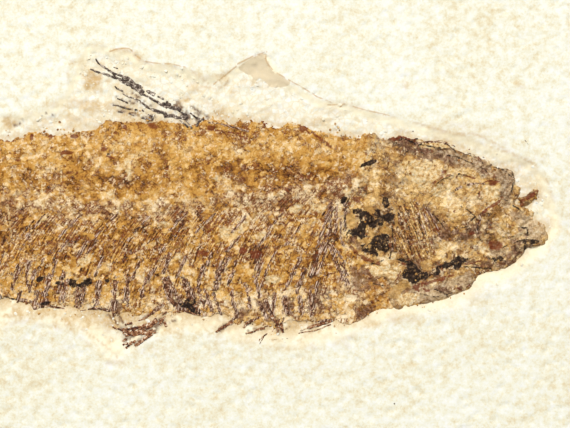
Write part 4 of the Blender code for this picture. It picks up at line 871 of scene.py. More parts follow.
def build_slab(material):
    layers = broken_layers()
    rings = lamina_rings(layers)
    top_ring = rings[-1]
    top_ring[:, 2] = stone_height(top_ring[:, 0], top_ring[:, 1])
    half_x, half_y = SLAB_LENGTH / 2, SLAB_WIDTH / 2
    wide = spread(-half_x, half_x, -half_y, half_y, 0.62, 101)
    close = spread(-22.0, 58.0, -27.0, 30.0, 0.29, 103)
    seen = (close[:, 0] > -21.5) & (close[:, 0] < 57.5) & (close[:, 1] > -26.5) & (close[:, 1] < 29.5)
    in_seen = (wide[:, 0] > -21.8) & (wide[:, 0] < 57.8) & (wide[:, 1] > -26.8) & (wide[:, 1] < 29.8)
    inner = np.vstack([wide[~in_seen], close[seen]])
    under_fish = np.full(len(inner), -9.0)
    for outline in (FLANK, HEADS["skull"], HEADS["gill_cover"]):
        under_fish = np.maximum(under_fish, depth_inside(inner[:, 0], inner[:, 1], outline))
    sparse = lattice(np.arange(len(inner)), np.arange(len(inner)) * 3, 105) < 0.04
    inner = inner[(under_fish < 1.0) | sparse]
    for _, *points in BED_EDGES + [(0.0, *GREY_FLAKE, GREY_FLAKE[0])]:
        course = bent_line(points, 12)
        beside = np.gradient(course, axis=0)
        beside = np.column_stack([-beside[:, 1], beside[:, 0]]) / np.hypot(*beside.T)[:, None]
        shake = 0.12 * (clouds(course[:, 0], course[:, 1], 0.5, 125, 2) - 0.5)[:, None] * beside
        inner = np.vstack([inner] + [course + shake + beside * aside for aside in (-0.13, -0.045, 0.045, 0.13)])
    inner = inner[depth_inside(inner[:, 0], inner[:, 1], top_ring[:, :2]) > 0.35]

    ring_size = len(top_ring)
    border = [(i, (i + 1) % ring_size) for i in range(ring_size)]
    flat = [Vector(p) for p in np.vstack([top_ring[:, :2], inner]).tolist()]
    found, _, top_faces, *_ = geometry.delaunay_2d_cdt(flat, border, [], 1, 1e-7)
    tops = np.array([tuple(p) for p in found])
    top_z = stone_height(tops[:, 0], tops[:, 1])
    low_ring = rings[0]
    under = spread(-half_x, half_x, -half_y, half_y, 1.7, 107)
    under = under[depth_inside(under[:, 0], under[:, 1], low_ring[:, :2]) > 0.9]
    flat = [Vector(p) for p in np.vstack([low_ring[:, :2], under]).tolist()]
    found, _, low_faces, *_ = geometry.delaunay_2d_cdt(flat, border, [], 1, 1e-7)
    lows = np.array([tuple(p) for p in found])
    worn = smooth(depth_inside(lows[:, 0], lows[:, 1], low_ring[:, :2]), 0.0, 2.0)
    low_z = worn * 0.5 * np.clip(clouds(lows[:, 0], lows[:, 1], 14.0, 109, 4) - 0.42, 0, 1)

    sides = np.vstack(rings)
    verts = np.vstack([sides, np.column_stack([tops, top_z]), np.column_stack([lows, low_z])])
    faces = []
    for level in range(len(rings) - 1):
        for i in range(ring_size):
            j = (i + 1) % ring_size
            faces.append((
                level * ring_size + i,
                level * ring_size + j,
                (level + 1) * ring_size + j,
                (level + 1) * ring_size + i,
            ))
    start = len(sides)
    faces += [tuple(start + i for i in face) for face in top_faces]
    start += len(tops)
    faces += [tuple(start + i for i in face) for face in low_faces]
    masks = stone_masks(verts)
    slab = new_piece("limestone_slab", (verts * MM).tolist(), faces, material, masks)
    bm = bmesh.new()
    bm.from_mesh(slab.data)
    bmesh.ops.remove_doubles(bm, verts=bm.verts, dist=1e-6)
    bmesh.ops.recalc_face_normals(bm, faces=bm.faces)
    bm.to_mesh(slab.data)
    bm.free()
    return slab


STAINS = [
    (-6.8, 18.7, 1.3, 1.1, 0, 0.9), (-6.0, 20.5, 0.8, 0.5, 0, 0.5), (-5.0, 18.4, 0.5, 0.44, 0, 0.9),
    (-9.6, 20.7, 0.6, 0.44, 0, 0.6), (-10.0, 18.9, 0.25, 0.9, 0, 0.5), (-8.2, 20.5, 1.0, 1.0, 30, 0.3),
    (-2.1, 17.0, 2.4, 1.0, -20, 0.35), (-1.6, 14.6, 5.5, 1.6, -8, 0.6), (-0.8, 13.3, 4.0, 0.8, 0, 0.75),
    (3.8, 15.4, 0.8, 0.9, -30, 0.9), (4.9, 16.1, 0.6, 0.6, -30, 0.8), (9.5, 18.6, 1.0, 0.6, -20, 0.5),
    (8.7, 14.0, 1.6, 1.0, 0, 0.8), (12.6, 13.6, 2.1, 0.9, 0, 0.8), (13.8, 17.9, 2.3, 0.6, 0, 0.25),
    (-3.5, 22.2, 1.3, 0.31, 0, 0.5), (-1.4, 21.6, 0.9, 0.6, -50, 0.4), (-6.8, 14.4, 1.3, 1.1, 0, 0.4),
    (-9.0, 13.4, 2.2, 1.2, 0, 0.5), (-3.5, -12.5, 1.0, 0.8, 0, 0.5), (-4.9, -14.0, 0.6, 0.5, 0, 0.6),
    (-1.1, -11.4, 3.9, 0.9, 0, 0.5), (-6.2, -12.0, 1.8, 1.3, 20, 0.4), (2.2, -12.4, 0.8, 0.6, 0, 0.5),
    (5.4, -11.1, 1.1, 0.6, 0, 0.7), (16.2, -12.4, 1.0, 1.1, 0, 0.6), (20.9, -12.9, 0.9, 0.6, 0, 0.7),
    (19.1, -11.5, 1.4, 1.0, 0, 0.8), (24.8, -12.0, 1.3, 0.8, 0, 0.5), (10.9, -11.9, 4.4, 0.9, 0, 0.35),
    (12.9, -14.0, 1.4, 0.5, 0, 0.4), (16.0, -14.0, 0.8, 0.5, 0, 0.5), (23.1, 14.8, 1.6, 1.3, 0, 0.2),
    (40.2, 11.6, 6.3, 1.9, -14, 0.22), (47.0, 6.6, 3.0, 3.1, -30, 0.3), (31.5, -11.0, 2.5, 1.3, -14, 0.35),
    (39.6, -8.4, 4.4, 1.1, -14, 0.22), (-10.8, 15.6, 2.8, 0.8, 0, 0.4), (-14.2, 12.6, 2.0, 0.5, 0, 0.5),
    (10.6, 17.1, 0.38, 0.6, 0, 0.4), (5.6, 17.5, 0.9, 1.0, 0, 0.4), (12.0, 18.4, 0.5, 0.9, 0, 0.3),
    (38.4, -6.6, 1.9, 1.4, 0, 0.2),
    (-4.1, -11.7, 1.2, 1.3, 0, 1.0), (-8.5, -11.2, 2.8, 1.2, 0, 0.6), (-14.8, -10.6, 4.0, 0.9, 0, 0.8),
    (-17.2, 13.2, 1.4, 0.9, 0, 0.8), (-6.6, 15.1, 2.2, 1.1, 0, 0.6), (-2.0, 14.2, 2.6, 0.9, -15, 0.9),
    (2.6, -12.2, 1.6, 1.0, 0, 0.7), (27.1, -11.8, 2.2, 1.1, 0, 0.55), (15.2, 14.2, 3.5, 0.8, 0, 0.3),
    (21.5, 13.2, 2.6, 0.7, 0, 0.5), (9.8, -12.4, 1.8, 0.9, 0, 0.6), (-13.5, 13.2, 2.5, 0.7, 0, 0.4),
    (8.6, 15.0, 2.4, 1.0, -20, 0.35),
    (32.1, 17.9, 0.5, 0.6, 0, 0.5), (46.6, 17.9, 0.9, 0.5, -20, 0.35), (-7.2, 18.6, 1.5, 1.2, 0, 0.8),
    (-4.3, -11.5, 1.4, 1.4, 0, 0.9), (-9.0, -11.4, 3.2, 1.3, 0, 0.85),
    (-0.6, -11.9, 1.8, 0.8, 0, 0.8), (-6.8, 18.4, 1.7, 1.3, 0, 0.9),
]
RESIDUE = [
    (0.65, (0.6, -12.5), (-0.4, -12.6), (-1.6, -12.9), (-2.5, -13.0)),
    (0.45, (1.8, -11.6), (0.9, -12.2), (0.2, -12.9)), (0.3, (0.2, -13.4), (-0.6, -13.9), (-1.5, -14.5)),
    (0.25, (-1.0, -13.2), (-2.2, -13.6), (-3.0, -14.1)), (0.35, (16.0, -11.8), (16.4, -12.5), (16.2, -13.1)),
    (0.2, (22.8, -11.5), (21.5, -12.0), (20.1, -12.5)), (0.5, (3.5, 15.4), (4.1, 14.6), (4.8, 13.9)),
    (0.2, (-2.2, 18.1), (-1.4, 17.5), (-0.8, 17.0)), (0.12, (-12.8, 14.4), (-12.2, 13.8), (-11.8, 14.2)),
    (0.12, (-16.8, 12.8), (-15.8, 13.2), (-15.6, 13.6)), (0.3, (0.0, 13.2), (0.6, 12.8)), (0.25, (10.5, -11.8), (9.5, -12.4), (8.8, -12.9)),
    (0.16, (0.9, -10.1), (0.2, -10.8), (-1.0, -11.5)),
    (0.14, (-5.0, -10.9), (-4.2, -11.6), (-3.4, -12.6)), (0.12, (-3.8, -11.0), (-3.2, -11.8)),
    (0.1, (2.6, -11.9), (3.4, -11.5)), (0.1, (12.4, -12.9), (13.6, -12.6)), (0.1, (17.2, -12.6), (18.6, -12.2)),
    (0.1, (24.2, -11.9), (25.6, -11.8)),
    (0.1, (-3.2, 16.9), (-2.0, 16.2), (-0.9, 15.6)), (0.09, (-3.9, 16.4), (-2.5, 15.9), (-1.4, 15.5)),
    (0.09, (-4.4, 15.5), (-2.9, 15.1), (-1.4, 14.6)), (0.09, (-3.8, 14.8), (-2.5, 14.5), (-0.9, 14.2)),
    (0.1, (-2.2, 14.4), (-0.8, 14.0), (0.6, 13.6)), (0.12, (-0.9, 14.8), (0.2, 14.2), (1.2, 13.8)),
    (0.1, (-2.2, 17.0), (-0.9, 16.2), (0.4, 15.2)), (0.16, (4.5, 14.5), (5.5, 13.9), (6.2, 13.4)),
    (0.14, (6.0, 14.4), (6.8, 13.8)), (0.14, (5.5, 15.1), (6.5, 14.5), (7.5, 13.9)),
]
GREY_FLAKE = [
    (11.3, 20.2), (13.0, 21.3), (14.7, 21.8), (14.8, 20.8), (15.8, 19.5), (17.7, 18.3), (17.2, 17.7), (15.5, 17.6),
    (14.8, 18.1), (13.9, 18.7), (12.9, 17.6), (13.0, 18.9), (12.2, 19.3), (11.4, 19.8),
]
BED_EDGES = [
    (0.05, (-4.8, 22.1), (-3.8, 22.4), (-2.4, 22.4), (-1.5, 21.6), (-0.6, 20.9)),
    (0.035, (-0.6, 20.9), (0.9, 20.6), (2.8, 20.5), (4.6, 20.1)), (0.04, (8.2, 18.0), (9.8, 19.2), (11.0, 20.2)),
    (0.055, (11.2, 20.5), (13.0, 21.4), (14.8, 22.0)),
    (0.05, (14.8, 22.0), (14.8, 20.9), (15.8, 19.6), (17.8, 18.4)),
    (0.03, (17.8, 18.4), (20.1, 17.1), (21.2, 16.4), (22.8, 15.8)),
    (0.02, (22.5, 15.4), (24.8, 15.4), (27.0, 14.8), (30.1, 14.1)),
    (0.02, (24.0, 15.1), (24.6, 15.6), (25.5, 15.6)),
]
FAINT_EDGES = [
    (0.06, (32.9, 13.4), (36.0, 12.4), (40.1, 11.4)), (0.06, (42.4, 10.2), (45.1, 9.4), (47.4, 8.5), (48.8, 7.5)),
    (0.05, (-9.1, -12.1), (-6.6, -13.8), (-4.8, -15.2), (-2.9, -17.1)),
    (0.05, (49.9, 6.0), (50.4, 4.8), (50.1, 3.1)), (0.06, (38.0, 11.9), (41.5, 11.5), (44.6, 9.8)),
    (0.05, (4.8, 20.1), (6.0, 19.2), (7.5, 18.2)), (0.06, (10.0, 18.5), (9.5, 17.8), (8.2, 17.5), (6.5, 17.8)),
]


def stone_masks(verts):
    """How far each point of the slab is scraped, stained, darkened by painted shade in creases near the fish or along
    the rim and bed edges, or shows the grey bed under it.
    """
    x, y, z = verts.T
    on_top = smooth(z, SLAB_TOP - 0.95, SLAB_TOP - 0.75)
    away = np.full(x.shape, 99.0)
    for outline, _ in LIFTS:
        away = np.minimum(away, -depth_inside(x, y, outline))
    away = np.maximum(away, 0) + 1.6 * (clouds(x, y, 1.8, 115, 3) - 0.5)
    under_belly = smooth(-y, 4, 8) * smooth(-x, -31, -25)
    fringe = np.exp(-((np.maximum(away, 0) / (0.5 + 1.9 * under_belly)) ** 2))
    fringe = fringe * (0.55 + 0.35 * under_belly) * smooth(clouds(x, y, 0.8, 116, 3), 0.2 + 0.1 * under_belly, 0.5)
    stain_and_crease_shade = np.zeros(x.shape)
    for *oval, amount in STAINS:
        stain_and_crease_shade = np.maximum(stain_and_crease_shade, amount * patches(x, y, [oval], 1.5, 111, 0.4))
    stain_and_crease_shade = stain_and_crease_shade * (0.45 + 0.55 * smooth(clouds(x, y, 0.5, 117, 3), 0.35, 0.55))
    # near the fish, tan painted shade fills the creases between flakes and is folded into the stain mask
    _, crease = flakes(x + 0.5 * clouds(x, y, 0.8, 128, 2), y, 1.1, 129)
    near = np.exp(-np.maximum(away, 0) / 3.0) * (0.3 + 0.7 * under_belly)
    stain_and_crease_shade = np.maximum(stain_and_crease_shade, 0.75 * near * (1 - smooth(crease, 0.05, 0.3)) * smooth(clouds(x, y, 1.8, 130, 2), 0.4, 0.6))
    dark = 0.9 * strokes(x, y, RESIDUE, 1.2, 118) * smooth(clouds(x, y, 0.5, 120, 3), 0.3, 0.5)
    # a thin tan line along the hollow's rim and the edges of the split beds: partly brown stain, partly painted shade
    # on the step's edge
    depth = depth_inside(x, y, RIM) + 0.9 * (clouds(x, y, 1.5, 11, 4) - 0.5)
    line = 0.3 * np.exp(-(((depth - 0.3) / 0.3) ** 2)) * smooth(clouds(x, y, 2.4, 119, 3), 0.5, 0.65)
    drawn = strokes(x, y, [(r[0] + 0.05, *bent_line(r[1:], 12)) for r in BED_EDGES], 0.0, 121)
    faint = strokes(x, y, [(r[0] + 0.05, *bent_line(r[1:], 12)) for r in FAINT_EDGES], 0.0, 123)
    line = np.maximum(line, np.maximum(0.8 * drawn, 0.5 * faint) * smooth(clouds(x, y, 0.6, 127, 3), 0.3, 0.5))
    flake = depth_inside(x, y, bent_line(GREY_FLAKE + GREY_FLAKE[:1], 12))
    return {
        "sunk": (hollow(x, y) * on_top).astype(np.float32),
        "edge_shade_line": (line * on_top).astype(np.float32),
        "stain_and_crease_shade": (np.maximum(stain_and_crease_shade, fringe * hollow(x, y)) * on_top).astype(np.float32),
        "dark": (dark * on_top).astype(np.float32),
        "grey": (smooth(flake, -0.02, 0.08) * on_top).astype(np.float32),
    }


# ---------------------------------------------------------------- swept and scattered pieces by Geometry Nodes


def evaluated_copy(name, carrier):
    """The carrier's Geometry Nodes result as a plain mesh piece; the carrier itself is removed."""
    depsgraph = bpy.context.evaluated_depsgraph_get()
    mesh = bpy.data.meshes.new_from_object(carrier.evaluated_get(depsgraph), depsgraph=depsgraph)
    mesh.name = name
    carrier.modifiers.clear()
    bpy.data.objects.remove(carrier, do_unlink=True)
    obj = bpy.data.objects.new(name, mesh)
    bpy.context.scene.collection.objects.link(obj)
    return obj


def run_tree(name, carrier, tree, values):
    """Puts a tree on the carrier, sets its named inputs by their identifiers and returns the finished piece."""
    modifier = carrier.modifiers.new(tree.name, "NODES")
    modifier.node_group = tree
    for item in tree.interface.items_tree:
        if item.item_type == "SOCKET" and item.in_out == "INPUT" and item.name in values:
            modifier[item.identifier] = values[item.name]
    return evaluated_copy(name, carrier)


def new_tree(name, inputs):
    """A tree with a geometry input and output, and the named inputs (name, socket type, default)."""
    tree = bpy.data.node_groups.new(name, "GeometryNodeTree")
    tree.interface.new_socket("Geometry", in_out="INPUT", socket_type="NodeSocketGeometry")
    tree.interface.new_socket("Geometry", in_out="OUTPUT", socket_type="NodeSocketGeometry")
    for label, kind, default in inputs:
        socket = tree.interface.new_socket(label, in_out="INPUT", socket_type=kind)
        if default is not None:
            socket.default_value = default
    return tree


def rod_tree():
    """Sweeps a round section along each line of the carrier, as thick as its point attribute "thick" says."""
    tree = new_tree("fine bones", [("Sides", "NodeSocketInt", 6), ("Material", "NodeSocketMaterial", None)])
    given = add(tree, "NodeGroupInput").outputs
    thick = add(tree, "GeometryNodeInputNamedAttribute", {"Name": "thick"}, data_type="FLOAT").outputs["Attribute"]
    lines = add(tree, "GeometryNodeMeshToCurve", {"Mesh": given["Geometry"]})
    section = add(tree, "GeometryNodeCurvePrimitiveCircle", {"Resolution": given["Sides"], "Radius": 1.0})
    swept = add(
        tree,
        "GeometryNodeCurveToMesh",
        {"Curve": lines, "Profile Curve": section, "Scale": thick, "Fill Caps": True},
    )
    rounded = add(tree, "GeometryNodeSetShadeSmooth", {0: swept})
    real = add(tree, "GeometryNodeRealizeInstances", {0: rounded})
    coated = add(tree, "GeometryNodeSetMaterial", {"Geometry": real, "Material": given["Material"]})
    add(tree, "NodeGroupOutput", {0: coated})
    return tree


def scatter_tree():
    """Scatters crumbs over the carrier: as many as its attribute "crowd" says, each turned, stretched and toned its own way."""
    inputs = [
        ("Crumbs per square metre", "NodeSocketFloat", 1e6),
        ("Smallest", "NodeSocketFloat", 1e-4),
        ("Largest", "NodeSocketFloat", 2e-4),
        ("Seed", "NodeSocketInt", 0),
        ("Material", "NodeSocketMaterial", None),
    ]
    tree = new_tree("scattered crumbs", inputs)
    given = add(tree, "NodeGroupInput").outputs
    crowd = add(tree, "GeometryNodeInputNamedAttribute", {"Name": "crowd"}, data_type="FLOAT").outputs["Attribute"]
    density = add(tree, "Math", {0: crowd, 1: given["Crumbs per square metre"]}, operation="MULTIPLY")
    spots = add(
        tree,
        "GeometryNodeDistributePointsOnFaces",
        {"Mesh": given["Geometry"], "Density": density, "Seed": given["Seed"]},
    ).outputs["Points"]
    tone = add(tree, "GeometryNodeInputNamedAttribute", {"Name": "tone"}, data_type="FLOAT").outputs["Attribute"]
    draw = add(tree, "FunctionNodeRandomValue", {2: -0.22, 3: 0.25, "Seed": 1}, data_type="FLOAT").outputs[1]
    tone = add(tree, "Math", {0: tone, 1: draw}, operation="ADD")
    spots = add(tree, "GeometryNodeStoreNamedAttribute", {"Geometry": spots, "Name": "tone", "Value": tone})
    crumb = add(tree, "GeometryNodeMeshIcoSphere", {"Radius": 1.0, "Subdivisions": 1}).outputs["Mesh"]
    size = add(
        tree,
        "FunctionNodeRandomValue",
        {2: given["Smallest"], 3: given["Largest"], "Seed": 2},
        data_type="FLOAT",
    ).outputs[1]
    shape = add(
        tree, "FunctionNodeRandomValue", {0: (0.5, 0.5, 0.22), 1: (1.3, 1.0, 0.5), "Seed": 3}, data_type="FLOAT_VECTOR"
    )
    shape = add(tree, "VectorMath", {0: shape, "Scale": size}, operation="SCALE")
    turn = add(
        tree, "FunctionNodeRandomValue", {0: (-0.4, -0.4, 0.0), 1: (0.4, 0.4, 6.28), "Seed": 4}, data_type="FLOAT_VECTOR"
    )
    laid = add(
        tree, "GeometryNodeInstanceOnPoints", {"Points": spots, "Instance": crumb, "Rotation": turn, "Scale": shape}
    )
    real = add(tree, "GeometryNodeRealizeInstances", {0: laid})
    coated = add(tree, "GeometryNodeSetMaterial", {"Geometry": real, "Material": given["Material"]})
    add(tree, "NodeGroupOutput", {0: coated})
    return tree


def build_crumbs(name, on_fish, tree, material, values):
    """Loose crumbs of film along the fish and its edge, or of stone over the scraped ground."""
    xs, ys = np.arange(-56.5, 54.5, 0.4), np.arange(-18.0, 24.0, 0.4)
    x, y = np.meshgrid(xs, ys)
    away = np.full(x.shape, 99.0)
    for outline, _ in LIFTS:
        away = np.minimum(away, -depth_inside(x, y, outline))
    patchy = smooth(clouds(x, y, 1.3, 181, 3), 0.35, 0.65)
    if on_fish:
        crowd = np.where(away < 0, 0.10 + 0.35 * np.exp(-np.abs(away) / 0.8), 0.6 * np.exp(-away / 0.35)) * patchy
        crowd = crowd * (1 - 0.9 * (away > 0) * smooth(x, 22.0, 27.0))
    else:
        on_flake = depth_inside(x, y, bent_line(GREY_FLAKE + GREY_FLAKE[:1], 12)) > -0.3
        crowd = hollow(x, y) * (away > 0.2) * patchy * (1 - on_flake)
    look = crushed(x, y)
    z = surface_height(x, y)
    index = np.arange(x.size).reshape(x.shape)
    cells = np.stack([index[:-1, :-1], index[:-1, 1:], index[1:, 1:], index[1:, :-1]], axis=-1).reshape(-1, 4)
    mesh = bpy.data.meshes.new("ground")
    verts = np.column_stack([x.ravel(), y.ravel(), z.ravel()]) * MM
    mesh.from_pydata(verts.tolist(), [], cells[crowd.ravel()[cells].max(axis=1) > 0.01].tolist())
    look["crowd"] = crowd
    look["rust"] = look["rust"] * (away < 0) * 0.5
    look["sunk"] = np.ones(x.shape)
    for mask in ("crowd", "tone", "ashen", "cover", "rust", "sunk"):
        mesh.attributes.new(mask, "FLOAT", "POINT").data.foreach_set("value", look[mask].ravel().astype(np.float32))
    carrier = bpy.data.objects.new("ground", mesh)
    bpy.context.scene.collection.objects.link(carrier)
    return run_tree(name, carrier, tree, {"Material": material, **values})


def lines_mesh(lines):
    """Lines (places in mm, depth sunk in mm, radii in mm) laid on the surface, as edges with the attribute "thick"."""
    verts, edges, thick = [], [], []
    for places, sunk, radii in lines:
        edges += [(len(verts) + i, len(verts) + i + 1) for i in range(len(places) - 1)]
        verts += [(x, y, sunk) for x, y in places]
        thick += [r * MM for r in radii]
    verts = np.array(verts)
    verts[:, 2] = surface_height(verts[:, 0], verts[:, 1]) - verts[:, 2]
    mesh = bpy.data.meshes.new("guide lines")
    mesh.from_pydata((verts * MM).tolist(), edges, [])
    mesh.attributes.new("thick", "FLOAT", "POINT").data.foreach_set("value", thick)
    carrier = bpy.data.objects.new("guide lines", mesh)
    bpy.context.scene.collection.objects.link(carrier)
    return carrier


def laid_line(points, sink, radius, taper, seed, wander=0.15, steps=10):
    """A bone laid on the fish or the stone: it wanders a little and tapers to its tip."""
    pts = bent_line(points, max(2, steps // (len(points) - 1)))
    share = np.linspace(0, 1, len(pts))
    side = wander * (clouds(share * 6 + seed * 3.7, share * 0 + seed, 1.5, 121, 2) - 0.5)
    heading = np.gradient(pts, axis=0)
    heading = heading / np.maximum(np.hypot(*heading.T), 1e-9)[:, None]
    places = pts + np.column_stack([-heading[:, 1], heading[:, 0]]) * side[:, None] * 2
    radii = radius * (1 - (1 - taper) * share**1.4) * (0.85 + 0.3 * clouds(share * 9, share * 0 + seed, 1.0, 123))
    return places, sink, radii


def snapped(points, half, seed, strands=2, piece=1.2, sink=0.02):
    """A bone crushed flat: strands side by side in a band of that half width, each snapped into short pieces."""
    spine = bent_line(points, 8)
    run = np.concatenate([[0], np.cumsum(np.hypot(*np.diff(spine, axis=0).T))])
    heading = np.gradient(spine, axis=0)
    heading = heading / np.hypot(*heading.T)[:, None]
    aside = np.column_stack([-heading[:, 1], heading[:, 0]])
    lines = []
    for strand in range(strands):
        place = (2 * strand + 1) / strands - 1
        reached, n = 0.0, 0
        while reached < run[-1] - 0.1:
            draws = [float(lattice(np.array(seed * 31 + strand), np.array(n), 161 + k)) for k in range(4)]
            end = min(reached + piece * (0.35 + 1.3 * draws[0]), run[-1])
            at = np.linspace(reached, end, 4)
            band = half * (1 - 0.35 * at / run[-1])
            shift = band * (0.75 * place + 0.5 * (draws[1] - 0.5)) + 0.08 * (draws[2] - 0.5)
            places = [np.interp(at, run, spine[:, k]) + shift * np.interp(at, run, aside[:, k]) for k in (0, 1)]
            swell = lattice(np.arange(4) + 4 * n, np.full(4, strand), 171 + seed)
            radii = band / strands * (1.0 + 0.3 * draws[3] + 0.7 * swell) * np.array([0.8, 1.0, 1.0, 0.8])
            if draws[2] > 0.1:
                lines.append((np.column_stack(places), sink, radii))
            reached, n = end + 0.05, n + 1
    return lines


def surface_height(x, y):
    """Top of what lies at each point: the fish where there is some, or else the stone."""
    stone = np.minimum(stone_height(x, y), SLAB_TOP + 0.1)
    best = stone.copy()
    for outline, lift in LIFTS:
        inside = depth_inside(x, y, outline)
        body = np.minimum(stone, FLOOR + 0.12) - 0.35 + 0.5 * smooth(inside, -0.35, 0.3) + lift(x, y, np.maximum(inside, 0))
        best = np.where(inside > -0.1, np.maximum(best, body), best)
    return best


def flank_lift(x, y, inside):
    """The flank's gentle swell and its backbone."""
    top = np.interp(x, BACK_LINE[::-1, 0], BACK_LINE[::-1, 1])
    bottom = np.interp(x, BELLY_LINE[:, 0], BELLY_LINE[:, 1])
    swell = 0.55 * np.sin(np.minimum(inside / (0.3 * (top - bottom)), 1.0) * math.pi / 2)
    middle = backbone_y(x)
    band = np.exp(-(((y - middle) / 0.95) ** 2))
    pitch = (BACKBONE_FRONT - BACKBONE_REAR) / VERTEBRAE
    waist = 0.5 + 0.5 * np.cos(2 * math.pi * (x - BACKBONE_FRONT) / pitch)
    return swell + band * 0.12 * (0.3 + 0.7 * waist) * smooth(inside, 0.2, 1.0)


def skull_lift(x, y, inside):
    ring = np.hypot((x - 39.8) / 3.9, (y - 4.2) / 2.6)
    socket = -0.4 * np.clip(1 - ring**2, 0, 1) + 0.14 * np.exp(-(((ring - 1.15) / 0.16) ** 2))
    plates, edge = flakes(x, y, 2.6, 131)
    return 0.7 * np.sin(np.minimum(inside / 3.2, 1.0) * math.pi / 2) + (
        socket + 0.16 * (plates - 0.5) - 0.10 * (1 - smooth(edge, 0, 0.08))
    ) * smooth(inside, 0.2, 1.2)


def gill_lift(x, y, inside):
    away = np.arctan2(y - 4.6, x - 33.0)
    worn = -0.25 * np.exp(-(np.hypot(x - 28.4, y + 0.6) / 2.6) ** 2)
    swell = 0.6 * np.sin(np.minimum(inside / 2.6, 1.0) * math.pi / 2)
    return swell + (worn + 0.04 * np.cos(60 * away)) * smooth(inside, 0.1, 1.0)


def jaw_lift(x, y, inside):
    plates, edge = flakes(x, y, 1.9, 135)
    return 0.5 * np.sin(np.minimum(inside / 1.3, 1.0) * math.pi / 2) + 0.12 * (plates - 0.5) * smooth(inside, 0.1, 0.8)


def splinter_lift(x, y, inside):
    return 0.26 * np.sin(np.minimum(inside / 0.5, 1.0) * math.pi / 2)


LIFTS = [
    (FLANK, flank_lift),
    (HEADS["skull"], skull_lift),
    (HEADS["gill_cover"], gill_lift),
    (HEADS["lower_jaw"], jaw_lift),
    (HEADS["loose_snout_bone"], splinter_lift),
]


# ---------------------------------------------------------------- materials


def new_material(name):
    material = bpy.data.materials.new(name)
    material.use_nodes = True
    tree = material.node_tree
    tree.nodes.clear()
    shader = add(tree, "BsdfPrincipled")
    add(tree, "OutputMaterial", {"Surface": shader})
    place = add(tree, "TexCoord").outputs["Object"]
    in_mm = add(tree, "Mapping", {"Vector": place, "Scale": (1000, 1000, 1000)})
    return material, tree, shader, in_mm


